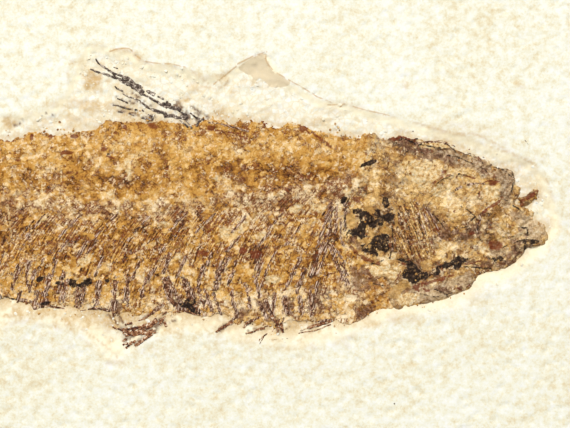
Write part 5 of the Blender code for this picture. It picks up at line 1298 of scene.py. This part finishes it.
def limestone():
    """Laminated lake limestone, split by hand and scraped: matt and chalky, with warm mottles and fine black specks."""
    material, tree, shader, in_mm = new_material("cream laminated limestone, split and scraped")
    mottle, broad, grain, fine = (
        add(tree, "TexNoise", {"Vector": in_mm, "Scale": per_mm, "Detail": detail, "Roughness": rough})
        for per_mm, detail, rough in ((0.9, 5.0, 0.62), (0.09, 3.0, 0.6), (3.2, 3.0, 0.7), (5.5, 3.0, 0.7))
    )
    warmth = add(tree, "Math", {0: mottle, 1: 0.62}, operation="MULTIPLY")
    warmth = add(tree, "Math", {0: grain, 1: 0.38, 2: warmth}, operation="MULTIPLY_ADD")
    warmth = add(tree, "Math", {0: broad, 1: 0.25, 2: warmth}, operation="MULTIPLY_ADD")
    colour = add(
        tree,
        "ValToRGB",
        {"Fac": warmth},
        stops=((0.46, "#E3E3E0"), (0.57, "#DFDED3"), (0.64, "#DCD9C6"), (0.72, "#D6CDB2"), (0.82, "#CBB996")),
    ).outputs["Color"]
    # scraped ground is crumbly: half-millimetre crumbs, almost white, with tan painted shade in the creases between
    # them
    stir = add(tree, "TexNoise", {"Vector": in_mm, "Scale": 1.4, "Detail": 3.0})
    stir = add(tree, "VectorMath", {0: stir.outputs["Color"], 1: (0.8, 0.8, 0.0)}, operation="MULTIPLY")
    stir = add(tree, "VectorMath", {0: in_mm, 1: stir}, operation="ADD")
    crumb = add(tree, "TexVoronoi", {"Vector": stir, "Scale": 1.35})
    crease = add(tree, "TexVoronoi", {"Vector": stir, "Scale": 1.35}, feature="DISTANCE_TO_EDGE")
    # the tan towards each crumb's edge is painted shade in the creases, only on the scraped ground
    dust = add(tree, "MapRange", {"Value": crease.outputs["Distance"], "From Min": 0.16, "From Max": 0.02})
    crumb_draw = add(tree, "SeparateColor", {0: crumb.outputs["Color"]})
    crumb_tint = add(
        tree,
        "ValToRGB",
        {"Fac": crumb_draw},
        stops=((0.1, "#E8E8E2"), (0.5, "#E4E3D6"), (0.85, "#E0DAC6"), (1.0, "#D9CBAC")),
    ).outputs["Color"]
    sunk = add(tree, "Attribute", attribute_name="sunk").outputs["Fac"]
    shown = add(tree, "Math", {0: sunk, 1: 0.45}, operation="MULTIPLY")
    # on the hollow's sloping bank the colour is painted lighter: painted light that cancels the shade on the bank
    left = add(tree, "Math", {0: 1.0, 1: sunk}, operation="SUBTRACT")
    bank = add(tree, "Math", {0: sunk, 1: left}, operation="MULTIPLY")
    bank = add(tree, "Math", {0: bank, 1: 2.8}, operation="MULTIPLY")
    colour = add(tree, "Mix", {0: shown, 6: colour, 7: crumb_tint}, data_type="RGBA").outputs[2]
    dust = add(tree, "Math", {0: dust, 1: mottle}, operation="MULTIPLY")
    dust = add(tree, "Math", {0: dust, 1: sunk}, operation="MULTIPLY")
    colour = add(tree, "Mix", {0: dust, 6: colour, 7: "#D8C6A2"}, data_type="RGBA").outputs[2]
    colour = add(tree, "Mix", {0: bank, 6: colour, 7: "#EFE5C6"}, data_type="RGBA").outputs[2]
    # thin beds show on the broken edge: bands of tan, grey and brown a fraction of a millimetre thick
    bands = add(tree, "Mapping", {"Vector": in_mm, "Scale": (0.04, 0.04, 2.4)})
    bands = add(tree, "TexNoise", {"Vector": bands, "Scale": 1.0, "Detail": 4.0, "Roughness": 0.7})
    bed_colour = add(
        tree,
        "ValToRGB",
        {"Fac": bands},
        stops=((0.3, "#8F7A5B"), (0.42, "#C4AE86"), (0.52, "#E2D6B8"), (0.62, "#BFA57C"), (0.7, "#DCCDAA")),
    ).outputs["Color"]
    facing = add(tree, "NewGeometry").outputs["Normal"]
    upright = add(tree, "SeparateXYZ", {0: facing}).outputs["Z"]
    upright = add(tree, "Math", {0: upright}, operation="ABSOLUTE")
    side = add(tree, "MapRange", {"Value": upright, "From Min": 0.75, "From Max": 0.35})
    height = add(tree, "SeparateXYZ", {0: in_mm}).outputs["Z"]
    low = add(tree, "MapRange", {"Value": height, "From Min": 9.4, "From Max": 9.0})
    side = add(tree, "Math", {0: side, 1: low}, operation="MULTIPLY")
    colour = add(tree, "Mix", {0: side, 6: colour, 7: bed_colour}, data_type="RGBA").outputs[2]
    broken = add(tree, "MapRange", {"Value": grain, "From Min": 0.3, "From Max": 0.55, "To Min": 0.6})
    # the stain tint also paints shade into the creases near the fish, and the tan line at the rim and bed edges is
    # partly painted shade
    for mask, tint, strength in (
        ("stain_and_crease_shade", "#BC9A64", 1.0),
        ("grey", "#CEBD9E", 0.9),
        ("edge_shade_line", "#B48A54", 0.8),
        ("dark", "#5A3826", 1.0),
    ):
        amount = add(tree, "Attribute", attribute_name=mask).outputs["Fac"]
        amount = add(tree, "Math", {0: amount, 1: strength}, operation="MULTIPLY")
        if mask in ("stain_and_crease_shade", "dark"):
            amount = add(tree, "Math", {0: amount, 1: broken}, operation="MULTIPLY")
        colour = add(tree, "Mix", {0: amount, 6: colour, 7: tint}, data_type="RGBA").outputs[2]
    # black mineral specks a tenth of a millimetre across, a few in each square centimetre
    specks = add(tree, "TexVoronoi", {"Vector": in_mm, "Scale": 0.42, "Randomness": 1.0})
    dot = add(tree, "MapRange", {"Value": specks.outputs["Distance"], "From Min": 0.05, "From Max": 0.03})
    chosen = add(tree, "SeparateColor", {0: specks.outputs["Color"]})
    chosen = add(tree, "Math", {0: chosen, 1: 0.92}, operation="GREATER_THAN")
    dot = add(tree, "Math", {0: dot, 1: chosen}, operation="MULTIPLY")
    colour = add(tree, "Mix", {0: dot, 6: colour, 7: "#4A3A2C"}, data_type="RGBA").outputs[2]
    bump = add(tree, "Bump", {"Height": fine, "Distance": 0.00007, "Strength": 0.7})
    tree.links.new(colour, shader.inputs["Base Color"])
    tree.links.new(bump.outputs[0], shader.inputs["Normal"])
    shader.inputs["Roughness"].default_value = 0.9
    shader.inputs["IOR"].default_value = 1.49
    shader.inputs["Specular IOR Level"].default_value = 0.2
    return material


def fossil(name, gold_stops, ashen_stops, roughness):
    """Mineral in the place of skin or bone, crushed flat: golden crumbs among ashen and rusty ones.

    The masks on its mesh say where it is darker, more ashen, threaded with fine bone, rusty or black.
    """
    material, tree, shader, in_mm = new_material(name)
    along, across, start, ashen, grain, cover = (
        add(tree, "Attribute", attribute_name=mask).outputs["Fac"]
        for mask in ("along", "across", "tone", "ashen", "grain", "cover")
    )
    # the film has broken into crumbs half a millimetre across, and those into chips of a fifth of a millimetre
    swirl = add(tree, "TexNoise", {"Vector": in_mm, "Scale": 1.6, "Detail": 3.0})
    push = add(tree, "VectorMath", {0: swirl.outputs["Color"], 1: (0.6, 0.6, 0.0)}, operation="MULTIPLY")
    stirred = add(tree, "VectorMath", {0: in_mm, 1: push}, operation="ADD")
    crumb = add(tree, "TexVoronoi", {"Vector": stirred, "Scale": 1.9})
    chip = add(tree, "TexVoronoi", {"Vector": stirred, "Scale": 4.6})
    crumb_draw = add(tree, "SeparateColor", {0: crumb.outputs["Color"]}).outputs
    chip_draw = add(tree, "SeparateColor", {0: chip.outputs["Color"]}).outputs
    # fine bones under the film: threads a tenth of a millimetre wide that run with the ribs
    across = add(tree, "Math", {0: across, 1: 0.12}, operation="MULTIPLY")
    lie = add(tree, "CombineXYZ", {"X": along, "Y": across})
    grit, thread, crack, flaked, glint_highlight, blotch, bundle, mottle = (
        add(tree, "TexNoise", {"Vector": place, "Scale": per_mm, "Detail": detail, "Roughness": rough})
        for place, per_mm, detail, rough in (
            (in_mm, 5.0, 3.0, 0.75),
            (lie, 4.4, 3.0, 0.65),
            (stirred, 1.5, 4.0, 0.65),
            (stirred, 0.85, 4.0, 0.52),
            (lie, 6.0, 2.0, 0.8),
            (stirred, 0.62, 5.0, 0.65),
            (lie, 7.0, 2.0, 0.7),
            (stirred, 2.4, 5.0, 0.72),
        )
    )
    threads = add(tree, "MapRange", {"Value": thread, "From Min": 0.33, "From Max": 0.67, "To Min": -0.32, "To Max": 0.36})
    threads = add(tree, "Math", {0: threads, 1: grain}, operation="MULTIPLY")
    # cracks wander through it, a few hundredths of a millimetre wide
    crack = add(tree, "Math", {0: crack, 1: 0.5}, operation="SUBTRACT")
    crack = add(tree, "Math", {0: crack}, operation="ABSOLUTE")
    crack = add(tree, "MapRange", {"Value": crack, "From Min": 0.03, "From Max": 0.006})
    crack = add(tree, "Math", {0: crack, 1: chip_draw[1]}, operation="MULTIPLY")
    coarse = add(tree, "MapRange", {"Value": grit, "From Min": 0.3, "From Max": 0.7, "To Min": -0.2, "To Max": 0.2})
    # the golden skin has flaked off in places and bares the darker, threaded layer under it
    cover = add(tree, "Math", {0: flaked, 1: 1.7, 2: cover}, operation="MULTIPLY_ADD")
    cover = add(tree, "Math", {0: coarse, 1: 0.25, 2: cover}, operation="MULTIPLY_ADD")
    skin = add(tree, "MapRange", {"Value": cover, "From Min": 1.31, "From Max": 1.39})
    # next to the skin's torn edge the layer under it is painted darker: painted shade at the foot of the edge
    edge_shade_line = add(tree, "MapRange", {"Value": cover, "From Min": 1.2, "From Max": 1.33, "To Max": 0.16})
    # each crumb is painted lighter in its middle and darker towards its edge: painted shade between crumbs
    tone = start
    for part, low, high in (
        (crumb_draw[0], -0.08, 0.08),
        (chip_draw[0], -0.06, 0.07),
        (crumb.outputs["Distance"], -0.06, 0.10),
        (crack, -0.07, 0.34),
        (grit, -0.10, 0.10),
    ):
        part = add(tree, "MapRange", {"Value": part, "To Min": low, "To Max": high})
        tone = add(tree, "Math", {0: tone, 1: part}, operation="ADD")
    gold = add(tree, "ValToRGB", {"Fac": tone}, stops=gold_stops).outputs["Color"]
    dusty = add(tree, "ValToRGB", {"Fac": tone}, stops=ashen_stops).outputs["Color"]
    under = add(tree, "Math", {0: start, 1: threads}, operation="ADD")
    under = add(tree, "Math", {0: under, 1: edge_shade_line}, operation="ADD")
    under = add(tree, "Math", {0: under, 1: coarse}, operation="ADD")
    for part, low, high in ((crumb_draw[0], -0.08, 0.14), (chip_draw[0], -0.12, 0.14), (crack, 0.0, 0.28)):
        part = add(tree, "MapRange", {"Value": part, "To Min": low, "To Max": high})
        under = add(tree, "Math", {0: under, 1: part}, operation="ADD")
    brown = add(tree, "ValToRGB", {"Fac": under}, stops=gold_stops).outputs["Color"]
    ash = add(tree, "ValToRGB", {"Fac": under}, stops=ashen_stops).outputs["Color"]
    for part, reach in ((crumb_draw[1], 0.45), (chip_draw[2], 0.5)):
        part = add(tree, "MapRange", {"Value": part, "To Min": 0.2 - reach / 2, "To Max": 0.2 + reach / 2})
        ashen = add(tree, "Math", {0: ashen, 1: part}, operation="ADD")
    dust = add(tree, "MapRange", {"Value": ashen, "From Min": 0.5, "From Max": 0.95, "To Max": 0.7})
    gold = add(tree, "Mix", {0: dust, 6: gold, 7: dusty}, data_type="RGBA").outputs[2]
    ashen = add(tree, "MapRange", {"Value": ashen, "From Min": 0.3, "From Max": 0.8})
    colour = add(tree, "Mix", {0: ashen, 6: brown, 7: ash}, data_type="RGBA").outputs[2]
    # one crumb in six has rusted
    rusted = add(tree, "Math", {0: crumb_draw[2], 1: chip_draw[1]}, operation="MULTIPLY")
    rusted = add(tree, "MapRange", {"Value": rusted, "From Min": 0.36, "From Max": 0.48, "To Max": 0.7})
    colour = add(tree, "Mix", {0: rusted, 6: colour, 7: "#753A1C"}, data_type="RGBA").outputs[2]
    # painted highlights: glints of single crystal faces and bone splinters, painted almost white
    glint_highlight = add(tree, "Math", {0: glint_highlight, 1: grit}, operation="MULTIPLY")
    glint_highlight = add(tree, "MapRange", {"Value": glint_highlight, "From Min": 0.335, "From Max": 0.39, "To Max": 0.5})
    colour = add(tree, "Mix", {0: glint_highlight, 6: colour, 7: "#EADAC6"}, data_type="RGBA").outputs[2]
    colour = add(tree, "Mix", {0: skin, 6: colour, 7: gold}, data_type="RGBA").outputs[2]
    # iron has stained it red-brown in blotches, and some crumbs are bare cream stone
    blotch = add(tree, "MapRange", {"Value": blotch, "From Min": 0.60, "From Max": 0.66, "To Max": 0.55})
    colour = add(tree, "Mix", {0: blotch, 6: colour, 7: "#6F3C1D"}, data_type="RGBA").outputs[2]
    bare = add(tree, "Math", {0: crumb_draw[1], 1: chip_draw[2]}, operation="MULTIPLY")
    bare = add(tree, "Math", {0: start, 1: -0.5, 2: bare}, operation="MULTIPLY_ADD")
    bare = add(tree, "MapRange", {"Value": bare, "From Min": 0.41, "From Max": 0.50, "To Max": 0.75})
    colour = add(tree, "Mix", {0: bare, 6: colour, 7: "#E0C59D"}, data_type="RGBA").outputs[2]
    # ribs lie in it as bundles of dark threads; the pale threads between them are painted highlights
    shades = {}
    for part, source, stops in (
        ("bundle", bundle, ((0.41, "#301710"), (0.50, "#6A4028"), (0.57, "#D8BEA8"))),
        ("char", mottle, ((0.40, "#120A07"), (0.50, "#231815"), (0.57, "#3A2B26"), (0.64, "#A07C4C"))),
        ("bruise", mottle, ((0.34, "#361B14"), (0.45, "#5A3727"), (0.55, "#815C44"), (0.66, "#BC9C80"))),
        ("milky", mottle, ((0.34, "#5E4530"), (0.44, "#9A7C58"), (0.54, "#C4A986"), (0.66, "#EADBC2"))),
        ("chalky", mottle, ((0.34, "#84552A"), (0.44, "#CCA468"), (0.54, "#DDC698"), (0.68, "#EEE2C8"))),
    ):
        shades[part] = add(tree, "ValToRGB", {"Fac": source}, stops=stops).outputs["Color"]
    ochre = add(tree, "Mix", {0: 0.5, 6: gold, 7: "#BC9354"}, data_type="RGBA").outputs[2]
    # the pale plate tint also carries painted highlights: glint strokes on bone ridges and beside the ribs
    for mask, tint, strength, reach in (
        ("clear", shades["milky"], 0.55, 1.6),
        ("pale_plate_and_glint", shades["chalky"], 0.85, 1.5),
        ("dusky", shades["bruise"], 0.75, 1.4),
        ("rust", "#6E2F18", 0.8, 1.2),
        ("rib", shades["bundle"], 0.92, 1.0),
        ("black", shades["char"], 0.97, 1.3),
        ("island", ochre, 0.95, 0.3),
    ):
        amount = add(tree, "Attribute", attribute_name=mask).outputs["Fac"]
        eaten = add(tree, "Math", {0: coarse, 1: reach, 2: amount}, operation="MULTIPLY_ADD")
        shown = add(tree, "MapRange", {"Value": eaten, "From Min": 0.25, "From Max": 0.65})
        shown = add(tree, "Math", {0: shown, 1: strength}, operation="MULTIPLY")
        colour = add(tree, "Mix", {0: shown, 6: colour, 7: tint}, data_type="RGBA").outputs[2]
    rise = add(tree, "Math", {0: crumb.outputs["Distance"], 1: -0.7, 2: grit}, operation="MULTIPLY_ADD")
    rise = add(tree, "Math", {0: thread, 1: 0.6, 2: rise}, operation="MULTIPLY_ADD")
    rise = add(tree, "Math", {0: skin, 1: 0.35, 2: rise}, operation="MULTIPLY_ADD")
    bump = add(tree, "Bump", {"Height": rise, "Distance": 0.00013, "Strength": 0.9})
    tree.links.new(colour, shader.inputs["Base Color"])
    tree.links.new(bump.outputs[0], shader.inputs["Normal"])
    shader.inputs["Roughness"].default_value = roughness
    shader.inputs["IOR"].default_value = 1.63
    shader.inputs["Specular IOR Level"].default_value = 0.08
    return material


def ray_bone(name, stops, roughness):
    """Bone gone black-brown and glassy in thin rods: its ramp paints grey-blue highlights where it would catch the
    light, red-brown where it has split.
    """
    material, tree, shader, in_mm = new_material(name)
    grit = add(tree, "TexNoise", {"Vector": in_mm, "Scale": 2.2, "Detail": 3.0, "Roughness": 0.75})
    colour = add(
        tree,
        "ValToRGB",
        {"Fac": grit},
        stops=stops,
    ).outputs["Color"]
    bump = add(tree, "Bump", {"Height": grit, "Distance": 0.00006, "Strength": 0.8})
    tree.links.new(colour, shader.inputs["Base Color"])
    tree.links.new(bump.outputs[0], shader.inputs["Normal"])
    shader.inputs["Roughness"].default_value = roughness
    shader.inputs["IOR"].default_value = 1.63
    shader.inputs["Specular IOR Level"].default_value = 0.12
    return material


# ---------------------------------------------------------------- bones as rods


def rib_lines():
    """The ribs and splinters that stand out of the film."""
    lines = []
    for k, (half, *points) in enumerate(RIBS + LOOSE_STREAKS):
        lines += snapped(points, 0.75 * half, 400 + k, 2, 0.8, 0.03)
    return lines


def fan_lines(roots, tips, count, radius, seed, bend=0.6):
    """The rays of a fin between its root line and its tip line."""
    root_line, tip_line = bent_line(roots, 6), bent_line(tips, 6)
    lines = []
    for i in range(count):
        share = i / (count - 1)
        draw = float(lattice(np.array(i), np.array(seed), 151))
        root = [np.interp(share * (len(root_line) - 1), np.arange(len(root_line)), root_line[:, k]) for k in (0, 1)]
        tip = [np.interp(share * (len(tip_line) - 1), np.arange(len(tip_line)), tip_line[:, k]) for k in (0, 1)]
        root, tip = np.array(root), np.array(tip)
        tip = root + (tip - root) * (0.86 + 0.16 * draw)
        side = np.array((-(tip - root)[1], (tip - root)[0])) * 0.03 * bend
        middle = (root + tip) / 2 + side
        lines.append(laid_line([root, middle, tip], -0.02, radius * (0.8 + 0.4 * draw), 0.45, seed * 31 + i, 0.12, 14))
    return lines


# each: half width of the band, strands in it, and its course from root to tip
DORSAL_RAYS = [
    (0.16, 2, [(-4.2, 19.2), (-4.9, 19.7), (-5.6, 20.2), (-6.2, 20.6), (-6.6, 21.2)]),
    (0.22, 3, [(-1.8, 18.1), (-2.2, 18.5), (-3.2, 19.0), (-4.1, 19.3), (-5.0, 19.8)]),
    (0.15, 2, [(-3.5, 18.6), (-4.2, 18.8), (-5.2, 19.2), (-6.4, 19.6), (-7.3, 19.9)]),
    (0.13, 2, [(-3.1, 18.2), (-4.0, 18.9), (-4.5, 19.4)]),
    (0.38, 4, [(-0.6, 16.9), (-1.4, 17.5), (-2.2, 17.9), (-3.4, 18.6)]),
    (0.2, 2, [(0.8, 16.7), (0.2, 17.0), (-0.5, 17.2), (-1.1, 17.8), (-1.9, 18.0)]),
    (0.16, 2, [(2.4, 15.1), (1.8, 15.4), (0.9, 15.9), (0.0, 16.4), (-0.9, 16.9)]),
    (0.13, 1, [(2.5, 15.2), (1.9, 15.6), (1.0, 15.9), (0.1, 16.3)]),
    (0.13, 1, [(2.8, 15.4), (2.2, 15.8), (1.8, 16.2), (1.1, 16.5)]),
    (0.3, 3, [(5.0, 13.8), (4.4, 14.4), (3.8, 14.9), (3.0, 15.1), (2.2, 15.5)]),
    (0.26, 3, [(4.9, 13.6), (4.2, 13.8), (3.5, 13.9), (2.8, 14.1), (2.0, 13.9)]),
    (0.09, 1, [(-3.2, 17.1), (-3.8, 17.4), (-4.2, 17.8)]),
    (0.12, 2, [(-1.5, 16.1), (-2.4, 16.4), (-3.2, 16.8)]),
    (0.15, 2, [(0.6, 14.8), (-0.1, 15.2), (-0.9, 15.8), (-1.8, 16.2)]),
    (0.28, 3, [(2.2, 13.9), (1.9, 14.4), (1.2, 14.6), (0.5, 14.9)]),
    (0.09, 1, [(-1.4, 15.5), (-2.1, 15.6), (-2.9, 15.8), (-3.9, 16.2)]),
    (0.08, 1, [(-0.6, 14.6), (-1.5, 14.8), (-2.5, 14.9), (-3.4, 15.2), (-4.5, 15.5)]),
    (0.1, 1, [(0.6, 13.8), (0.0, 14.2), (-0.8, 14.8)]),
    (0.09, 1, [(0.6, 13.5), (-0.6, 13.8), (-1.8, 14.1), (-2.6, 14.4), (-3.8, 14.6)]),
    (0.13, 2, [(5.5, 12.5), (5.1, 13.0), (4.5, 13.8)]),
    (0.1, 1, [(7.0, 13.5), (6.0, 13.8), (5.2, 14.4)]),
    (0.1, 2, [(5.0, 12.6), (4.5, 13.1), (3.9, 13.5)]),
    (0.07, 1, [(-3.8, 20.0), (-4.4, 20.2)]),
    (0.12, 1, [(6.0, 12.8), (6.4, 13.4), (7.0, 13.8)]),
]
PELVIC_RAYS = [
    (0.13, 2, [(1.2, -9.8), (0.6, -10.4), (0.0, -11.0), (-0.6, -11.4), (-1.2, -11.6)]),
    (0.12, 1, [(-2.0, -11.9), (-2.6, -12.0), (-2.9, -12.2)]),
    (0.15, 2, [(0.5, -12.0), (-0.4, -12.1), (-1.2, -12.4), (-2.2, -12.5)]),
    (0.5, 5, [(1.2, -11.6), (0.2, -12.2), (-0.8, -12.6), (-1.9, -12.9), (-3.2, -12.9)]),
    (0.32, 4, [(0.9, -12.8), (0.0, -13.1), (-1.0, -13.1), (-2.0, -13.2), (-2.9, -13.4)]),
    (0.14, 2, [(-1.0, -13.2), (-2.0, -13.5), (-2.8, -13.9), (-3.2, -14.2)]),
    (0.32, 3, [(0.5, -13.2), (-0.4, -13.8), (-1.1, -14.4), (-1.6, -14.8)]),
    (0.2, 2, [(-1.6, -14.0), (-2.1, -14.4), (-2.8, -15.0)]),
    (0.1, 1, [(-2.5, -14.4), (-3.0, -14.6), (-3.5, -14.9)]),
    (0.14, 1, [(2.0, -11.8), (2.2, -12.2), (2.6, -12.8)]),
    (0.25, 3, [(2.2, -11.1), (1.8, -11.5), (1.4, -12.1)]),
    (0.1, 1, [(-3.2, -12.9), (-3.9, -12.6), (-4.5, -12.4)]),
    (0.1, 1, [(2.6, -10.2), (2.2, -10.6), (1.6, -10.9)]),
]
PECTORAL_RAYS = [
    (0.22, 3, [(23.0, -11.5), (22.1, -11.9), (20.9, -12.2), (19.9, -12.6)]),
    (0.06, 1, [(23.5, -11.9), (22.5, -12.2), (21.5, -12.6), (20.5, -12.9), (19.5, -13.0), (18.8, -13.2)]),
    (0.1, 1, [(14.6, -12.5), (13.8, -12.6), (13.1, -13.0), (12.2, -13.2)]),
    (0.06, 1, [(14.9, -13.2), (14.1, -13.8), (13.9, -14.2)]),
    (0.28, 3, [(15.4, -11.0), (15.8, -11.5), (16.2, -12.1), (16.1, -13.1)]),
    (0.2, 2, [(16.9, -11.5), (16.6, -12.2), (16.9, -13.1)]),
    (0.26, 3, [(10.6, -11.8), (10.0, -12.1), (9.1, -12.6), (8.5, -13.1)]),
    (0.18, 2, [(12.5, -11.8), (12.2, -12.1), (11.9, -12.5)]),
]
FINS = {
    "anal_fin": ([(-18.4, -8.5), (-28.4, -4.6)], [(-21.9, -13.4), (-26.4, -9.1), (-30.9, -5.6)], 14, 0.14),
    "tail_fin": (
        [(-36.6, 7.0), (-37.2, 5.0), (-37.4, 2.8), (-37.2, 0.6), (-36.6, -1.2)],
        [(-53.6, 15.6), (-46.8, 8.6), (-43.4, 2.8), (-47.0, -3.4), (-54.0, -10.0)],
        34,
        0.15,
    ),
}


def build_rods(name, lines, tree, material, sides=6):
    carrier = lines_mesh(lines)
    return run_tree(name, carrier, tree, {"Sides": sides, "Material": material})


# ---------------------------------------------------------------- studio

VIEW_CENTRE = (17.125, 1.75)
VIEW_WIDTH = 71.25
LENS = 100.0
SENSOR = 36.0


def build_studio():
    distance = VIEW_WIDTH / SENSOR * LENS
    data = bpy.data.cameras.new("overhead camera")
    data.lens = LENS
    data.sensor_width = SENSOR
    data.clip_start = 0.01
    data.clip_end = 10
    camera = bpy.data.objects.new("overhead camera", data)
    camera.location = (VIEW_CENTRE[0] * MM, VIEW_CENTRE[1] * MM, (SLAB_TOP + distance) * MM)
    bpy.context.scene.collection.objects.link(camera)
    bpy.context.scene.camera = camera

    world = bpy.data.worlds.new("soft studio")
    world.use_nodes = True
    world.node_tree.nodes["Background"].inputs["Color"].default_value = linear("#FFFFFF")
    world.node_tree.nodes["Background"].inputs["Strength"].default_value = 0.285
    bpy.context.scene.world = world
    for label, place, size, power in (
        ("window light", (-0.12, 0.38, 0.74), 0.30, 8.1),
        ("fill light", (0.5, -0.35, 0.8), 0.6, 1.3),
    ):
        lamp = bpy.data.lights.new(label, "AREA")
        lamp.size = size
        lamp.energy = power
        lamp.color = linear("#FFFEFA")[:3]
        obj = bpy.data.objects.new(label, lamp)
        obj.location = place
        obj.rotation_euler = (Vector((0.017, 0.002, 0.01)) - Vector(place)).to_track_quat("-Z", "Y").to_euler()
        bpy.context.scene.collection.objects.link(obj)
    bpy.context.scene.view_settings.view_transform = "Standard"

    material, tree, shader, in_mm = new_material("pale painted board, rolled")
    speck = add(tree, "TexNoise", {"Vector": in_mm, "Scale": 0.4, "Detail": 3.0})
    paint = add(tree, "ValToRGB", {"Fac": speck}, stops=((0.3, "#DAD8D3"), (0.7, "#E2E0DB")))
    tree.links.new(paint.outputs["Color"], shader.inputs["Base Color"])
    shader.inputs["Roughness"].default_value = 0.8
    floor = new_piece(
        "studio_floor",
        [(-2, -2, -0.0004), (2, -2, -0.0004), (2, 2, -0.0004), (-2, 2, -0.0004)],
        [(0, 1, 2, 3)],
        material,
    )


# ---------------------------------------------------------------- the whole

SKIN_GOLD = ((0.0, "#DBB87C"), (0.2, "#C99A50"), (0.4, "#B48036"), (0.58, "#8F5C24"), (0.76, "#5C3312"), (1.0, "#28150B"))
SKIN_ASH = ((0.0, "#F1E2C6"), (0.2, "#D8BD90"), (0.4, "#AE8A62"), (0.58, "#84583A"), (0.76, "#54301C"), (1.0, "#24140C"))
BONE_GOLD = ((0.0, "#EACF9A"), (0.2, "#CFA868"), (0.4, "#AB8047"), (0.58, "#80572C"), (0.76, "#54341B"), (1.0, "#221610"))
BONE_ASH = ((0.0, "#EFE4CE"), (0.2, "#CEBA96"), (0.4, "#A18B70"), (0.58, "#785C44"), (0.76, "#4A3424"), (1.0, "#1E140F"))


# the palest stops of these rod ramps are painted highlights
RAY_STOPS = ((0.3, "#241B17"), (0.43, "#473A33"), (0.51, "#6B5B50"), (0.58, "#9F9082"), (0.65, "#E0D6C8"))
RIB_STOPS = ((0.3, "#2E1A12"), (0.44, "#4A2C1E"), (0.53, "#75492F"), (0.6, "#A88262"), (0.68, "#DECBB6"))
TUFT_STOPS = ((0.3, "#28150F"), (0.42, "#553022"), (0.5, "#80502F"), (0.57, "#AE8058"), (0.65, "#E0D2BE"))


def carried(piece, slot, *nodes):
    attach(piece, "root")
    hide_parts(*nodes)


def main():
    stone = limestone()
    film = fossil("ochre apatite scale film, crushed", SKIN_GOLD, SKIN_ASH, 0.5)
    bone = fossil("brown apatite bone, crushed", BONE_GOLD, BONE_ASH, 0.42)
    rays = ray_bone("black-brown ray bone, mineralised and split", RAY_STOPS, 0.45)
    tufts = ray_bone("dark red-brown fin bone, mineralised and crushed", TUFT_STOPS, 0.6)
    ribs_bone = ray_bone("brown rib bone, mineralised and crushed", RIB_STOPS, 0.75)
    carried(build_slab(stone), "limestone", "slab")
    carried(bedded_sheet("flank_film", FLANK, 0.125, flank_lift, film), "scale_film", "scaly_flank")
    for node, label, lift, spacing in (
        ("skull", "skull_bones", skull_lift, 0.12),
        ("gill_cover", "gill_plate", gill_lift, 0.11),
        ("lower_jaw", "jaw_plates", jaw_lift, 0.11),
        ("loose_snout_bone", "snout_splinter", splinter_lift, 0.08),
    ):
        loose = node == "loose_snout_bone"
        sheet = bedded_sheet(label, HEADS[node], spacing, lift, bone, 0.15 if loose else 1.5, 0.0 if loose else 1.0)
        carried(sheet, "fossil_bone", node)
    rods = rod_tree()
    for node, rows in (("dorsal_fin", DORSAL_RAYS), ("pelvic_fin", PELVIC_RAYS), ("pectoral_fin", PECTORAL_RAYS)):
        lines = []
        for k, (half, strands, points) in enumerate(rows):
            lines += snapped(points, half, 300 + 20 * len(node) + k, strands, 0.55, -0.06)
        bone_of_fin = rays if node == "dorsal_fin" else tufts
        carried(build_rods(node.replace("_fin", "_rays"), lines, rods, bone_of_fin), "fin_rays", node)
    for node, (roots, tips, count, radius) in FINS.items():
        lines = fan_lines(roots, tips, count, radius, len(node))
        carried(build_rods(node.replace("_fin", "_rays"), lines, rods, rays), "fin_rays", node)
    crumbs = scatter_tree()
    for label, on_fish, material, slot, values in (
        ("film_crumbs", True, film, "scale_film", {"Crumbs per square metre": 9e6, "Smallest": 6e-5, "Largest": 2.4e-4}),
        ("stone_crumbs", False, stone, "limestone", {"Crumbs per square metre": 1.4e6, "Smallest": 8e-5, "Largest": 3.2e-4}),
    ):
        loose = build_crumbs(label, on_fish, crumbs, material, {**values, "Seed": 7 + on_fish})
        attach(loose, "root")
    ribs = build_rods("ribs_and_spines", rib_lines(), rods, ribs_bone)
    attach(ribs, "root")
    build_studio()


main()
